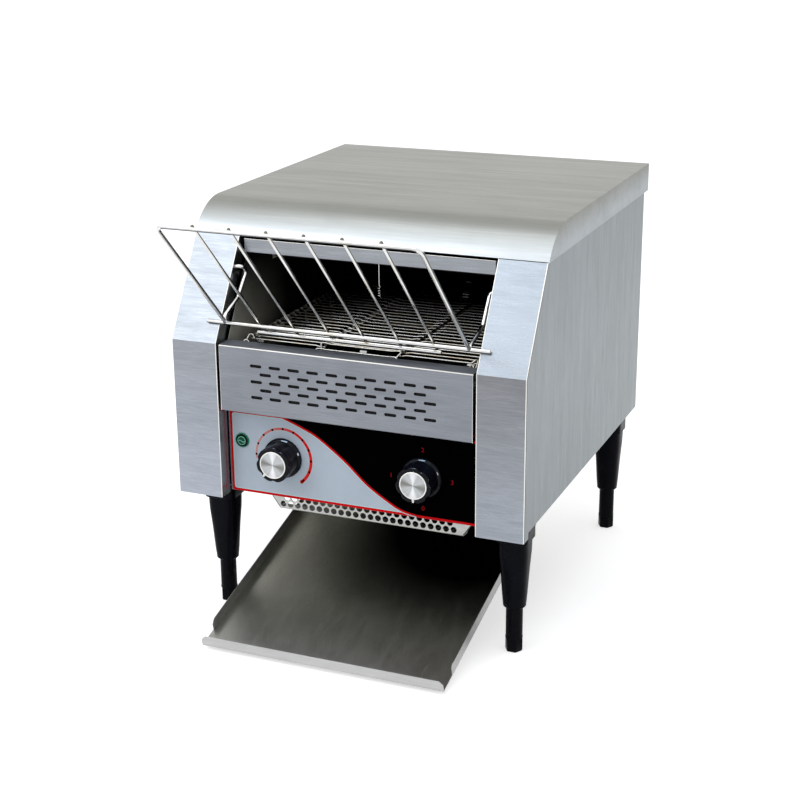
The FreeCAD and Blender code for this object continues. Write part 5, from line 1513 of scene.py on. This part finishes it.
def way_towards(azimuth, elevation):
    """Unit vector towards a place. Azimuth 0 is the front."""
    return Vector((math.sin(azimuth) * math.cos(elevation), -math.cos(azimuth) * math.cos(elevation),
                   math.sin(elevation)))


def aimed(azimuth_deg, elevation_deg, distance, target):
    """Matrix of a lamp that shines on a target from a direction. Azimuth 0 is the front."""
    way = way_towards(math.radians(azimuth_deg), math.radians(elevation_deg))
    turn = way.to_track_quat("Z", "Y")
    return Matrix.Translation(target + way * distance) @ turn.to_matrix().to_4x4()


def add_panel_lamp(name, direction, distance, size, radiance, colour):
    light = bpy.data.lights.new(name, "AREA")
    light.shape = "RECTANGLE"
    light.size, light.size_y = size
    light.color = colour
    light.energy = radiance * math.pi * size[0] * size[1]
    lamp = linked(name, light)
    lamp.matrix_world = aimed(*direction, distance, Vector((0, 0, 0.25)))
    return lamp


def add_gloss_lamps():
    """Window lights that only the glossy black pieces take, for their sharp highlights."""
    takers = bpy.data.collections.new("glossy_pieces")
    for name in glossy_nodes:
        takers.objects.link(bpy.data.objects[name])
    for name, (direction, size, radiance, colour) in gloss_windows.items():
        lamp = add_panel_lamp(name, direction, gloss_distance, size, radiance, colour)
        lamp.light_linking.receiver_collection = takers


def build_floor():
    half = 30.0
    mesh = bpy.data.meshes.new("studio_floor")
    mesh.from_pydata([(-half, -half, 0), (half, -half, 0), (half, half, 0), (-half, half, 0)], [], [[0, 1, 2, 3]])
    floor = linked("studio_floor", mesh)
    floor.location.z = -0.0002
    shader = Shader("studio_floor")
    grain = shader.even_noise(3, detail=4.0)
    shader.set(Base_Color=shader.mix(shader.range(grain, 0, 1), (floor_level - 0.005,) * 3, (floor_level,) * 3),
               Roughness=0.9, Specular_IOR_Level=0.0)
    shader.base.inputs["Emission Color"].default_value = (1, 1, 1, 1)
    path = shader.add("ShaderNodeLightPath")
    seen = shader.math("MULTIPLY", path.outputs["Is Camera Ray"], floor_glow)
    mirrored = shader.math("MULTIPLY", path.outputs["Is Glossy Ray"], floor_mirror_glow)
    shader.link(shader.math("ADD", seen, mirrored), shader.base.inputs["Emission Strength"])
    mesh.materials.append(shader.material)


def build_camera():
    data = bpy.data.cameras.new("camera")
    data.sensor_width = sensor
    data.lens = camera_lens
    data.clip_start = 0.05
    data.clip_end = 200
    camera = linked("camera", data)
    back = way_towards(camera_azimuth, camera_elevation)
    right = Vector((math.cos(camera_azimuth), math.sin(camera_azimuth), 0))
    up = back.cross(right)
    c, s = math.cos(camera_roll), math.sin(camera_roll)
    right, up = right * c + up * s, up * c - right * s
    turn = Matrix((right, up, back)).transposed().to_4x4()
    camera.matrix_world = Matrix.Translation(spot(*camera_spot)) @ turn
    bpy.context.scene.camera = camera


# The whole toaster

build_camera()
build_world()
build_floor()
add_panel_lamp("overhead_panel", key_direction_deg, key_distance, key_size, key_radiance, (0.98, 0.99, 1.0))
add_panel_lamp("front_panel", front_direction_deg, front_distance, front_size, front_radiance, (0.92, 0.96, 1.0))

dress("top_cover", "cover", 0.45)
for side in ("left", "right"):
    column = dress("side_panel_" + side, "column_" + side, 0.8)
    # Painted light: each column's sides and slants take their own lit and shaded copies of the steel, chosen by the way
    # each face points.
    paint(column, "side", lambda normal, middle: abs(normal.x) > 0.9)
    paint(column, "slant_" + side, lambda normal, middle: normal.z > 0.3 and normal.y < -0.3)
header = dress("header_strip", "header", 0.5)
header_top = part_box("header_strip")[1].z
for vertex in header.data.vertices:
    if vertex.co.z > header_top - 2 * MM:
        vertex.co.z -= header_drop * MM
dress("back_panel", "front", 0.2)
# Painted light: the bevels, the lip and the side walls take a lighter copy of the tray's steel.
tray = dress("catch_tray", "tray", 0.5, edge="tray_lip")
tray_front_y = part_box("catch_tray")[0].y + 6 * MM
paint(tray, "tray_lip", lambda normal, middle: abs(normal.x) > 0.9 or middle.y < tray_front_y)
dress("liner_left", "liner", 0.2)
dress("liner_right", "liner", 0.2)
build_vent()
build_vent_shade_screen()
build_panel()
build_guard()
build_edges()
build_belt()
build_rack()
for knob_node in ("speed_knob", "selector_knob"):
    build_knob(knob_node)
build_lamp()
build_legs()
build_hanger()
build_studs()
build_screws()
build_gland()
build_inner_pieces()
add_gloss_lamps()

bpy.context.scene.view_settings.view_transform = "Standard"
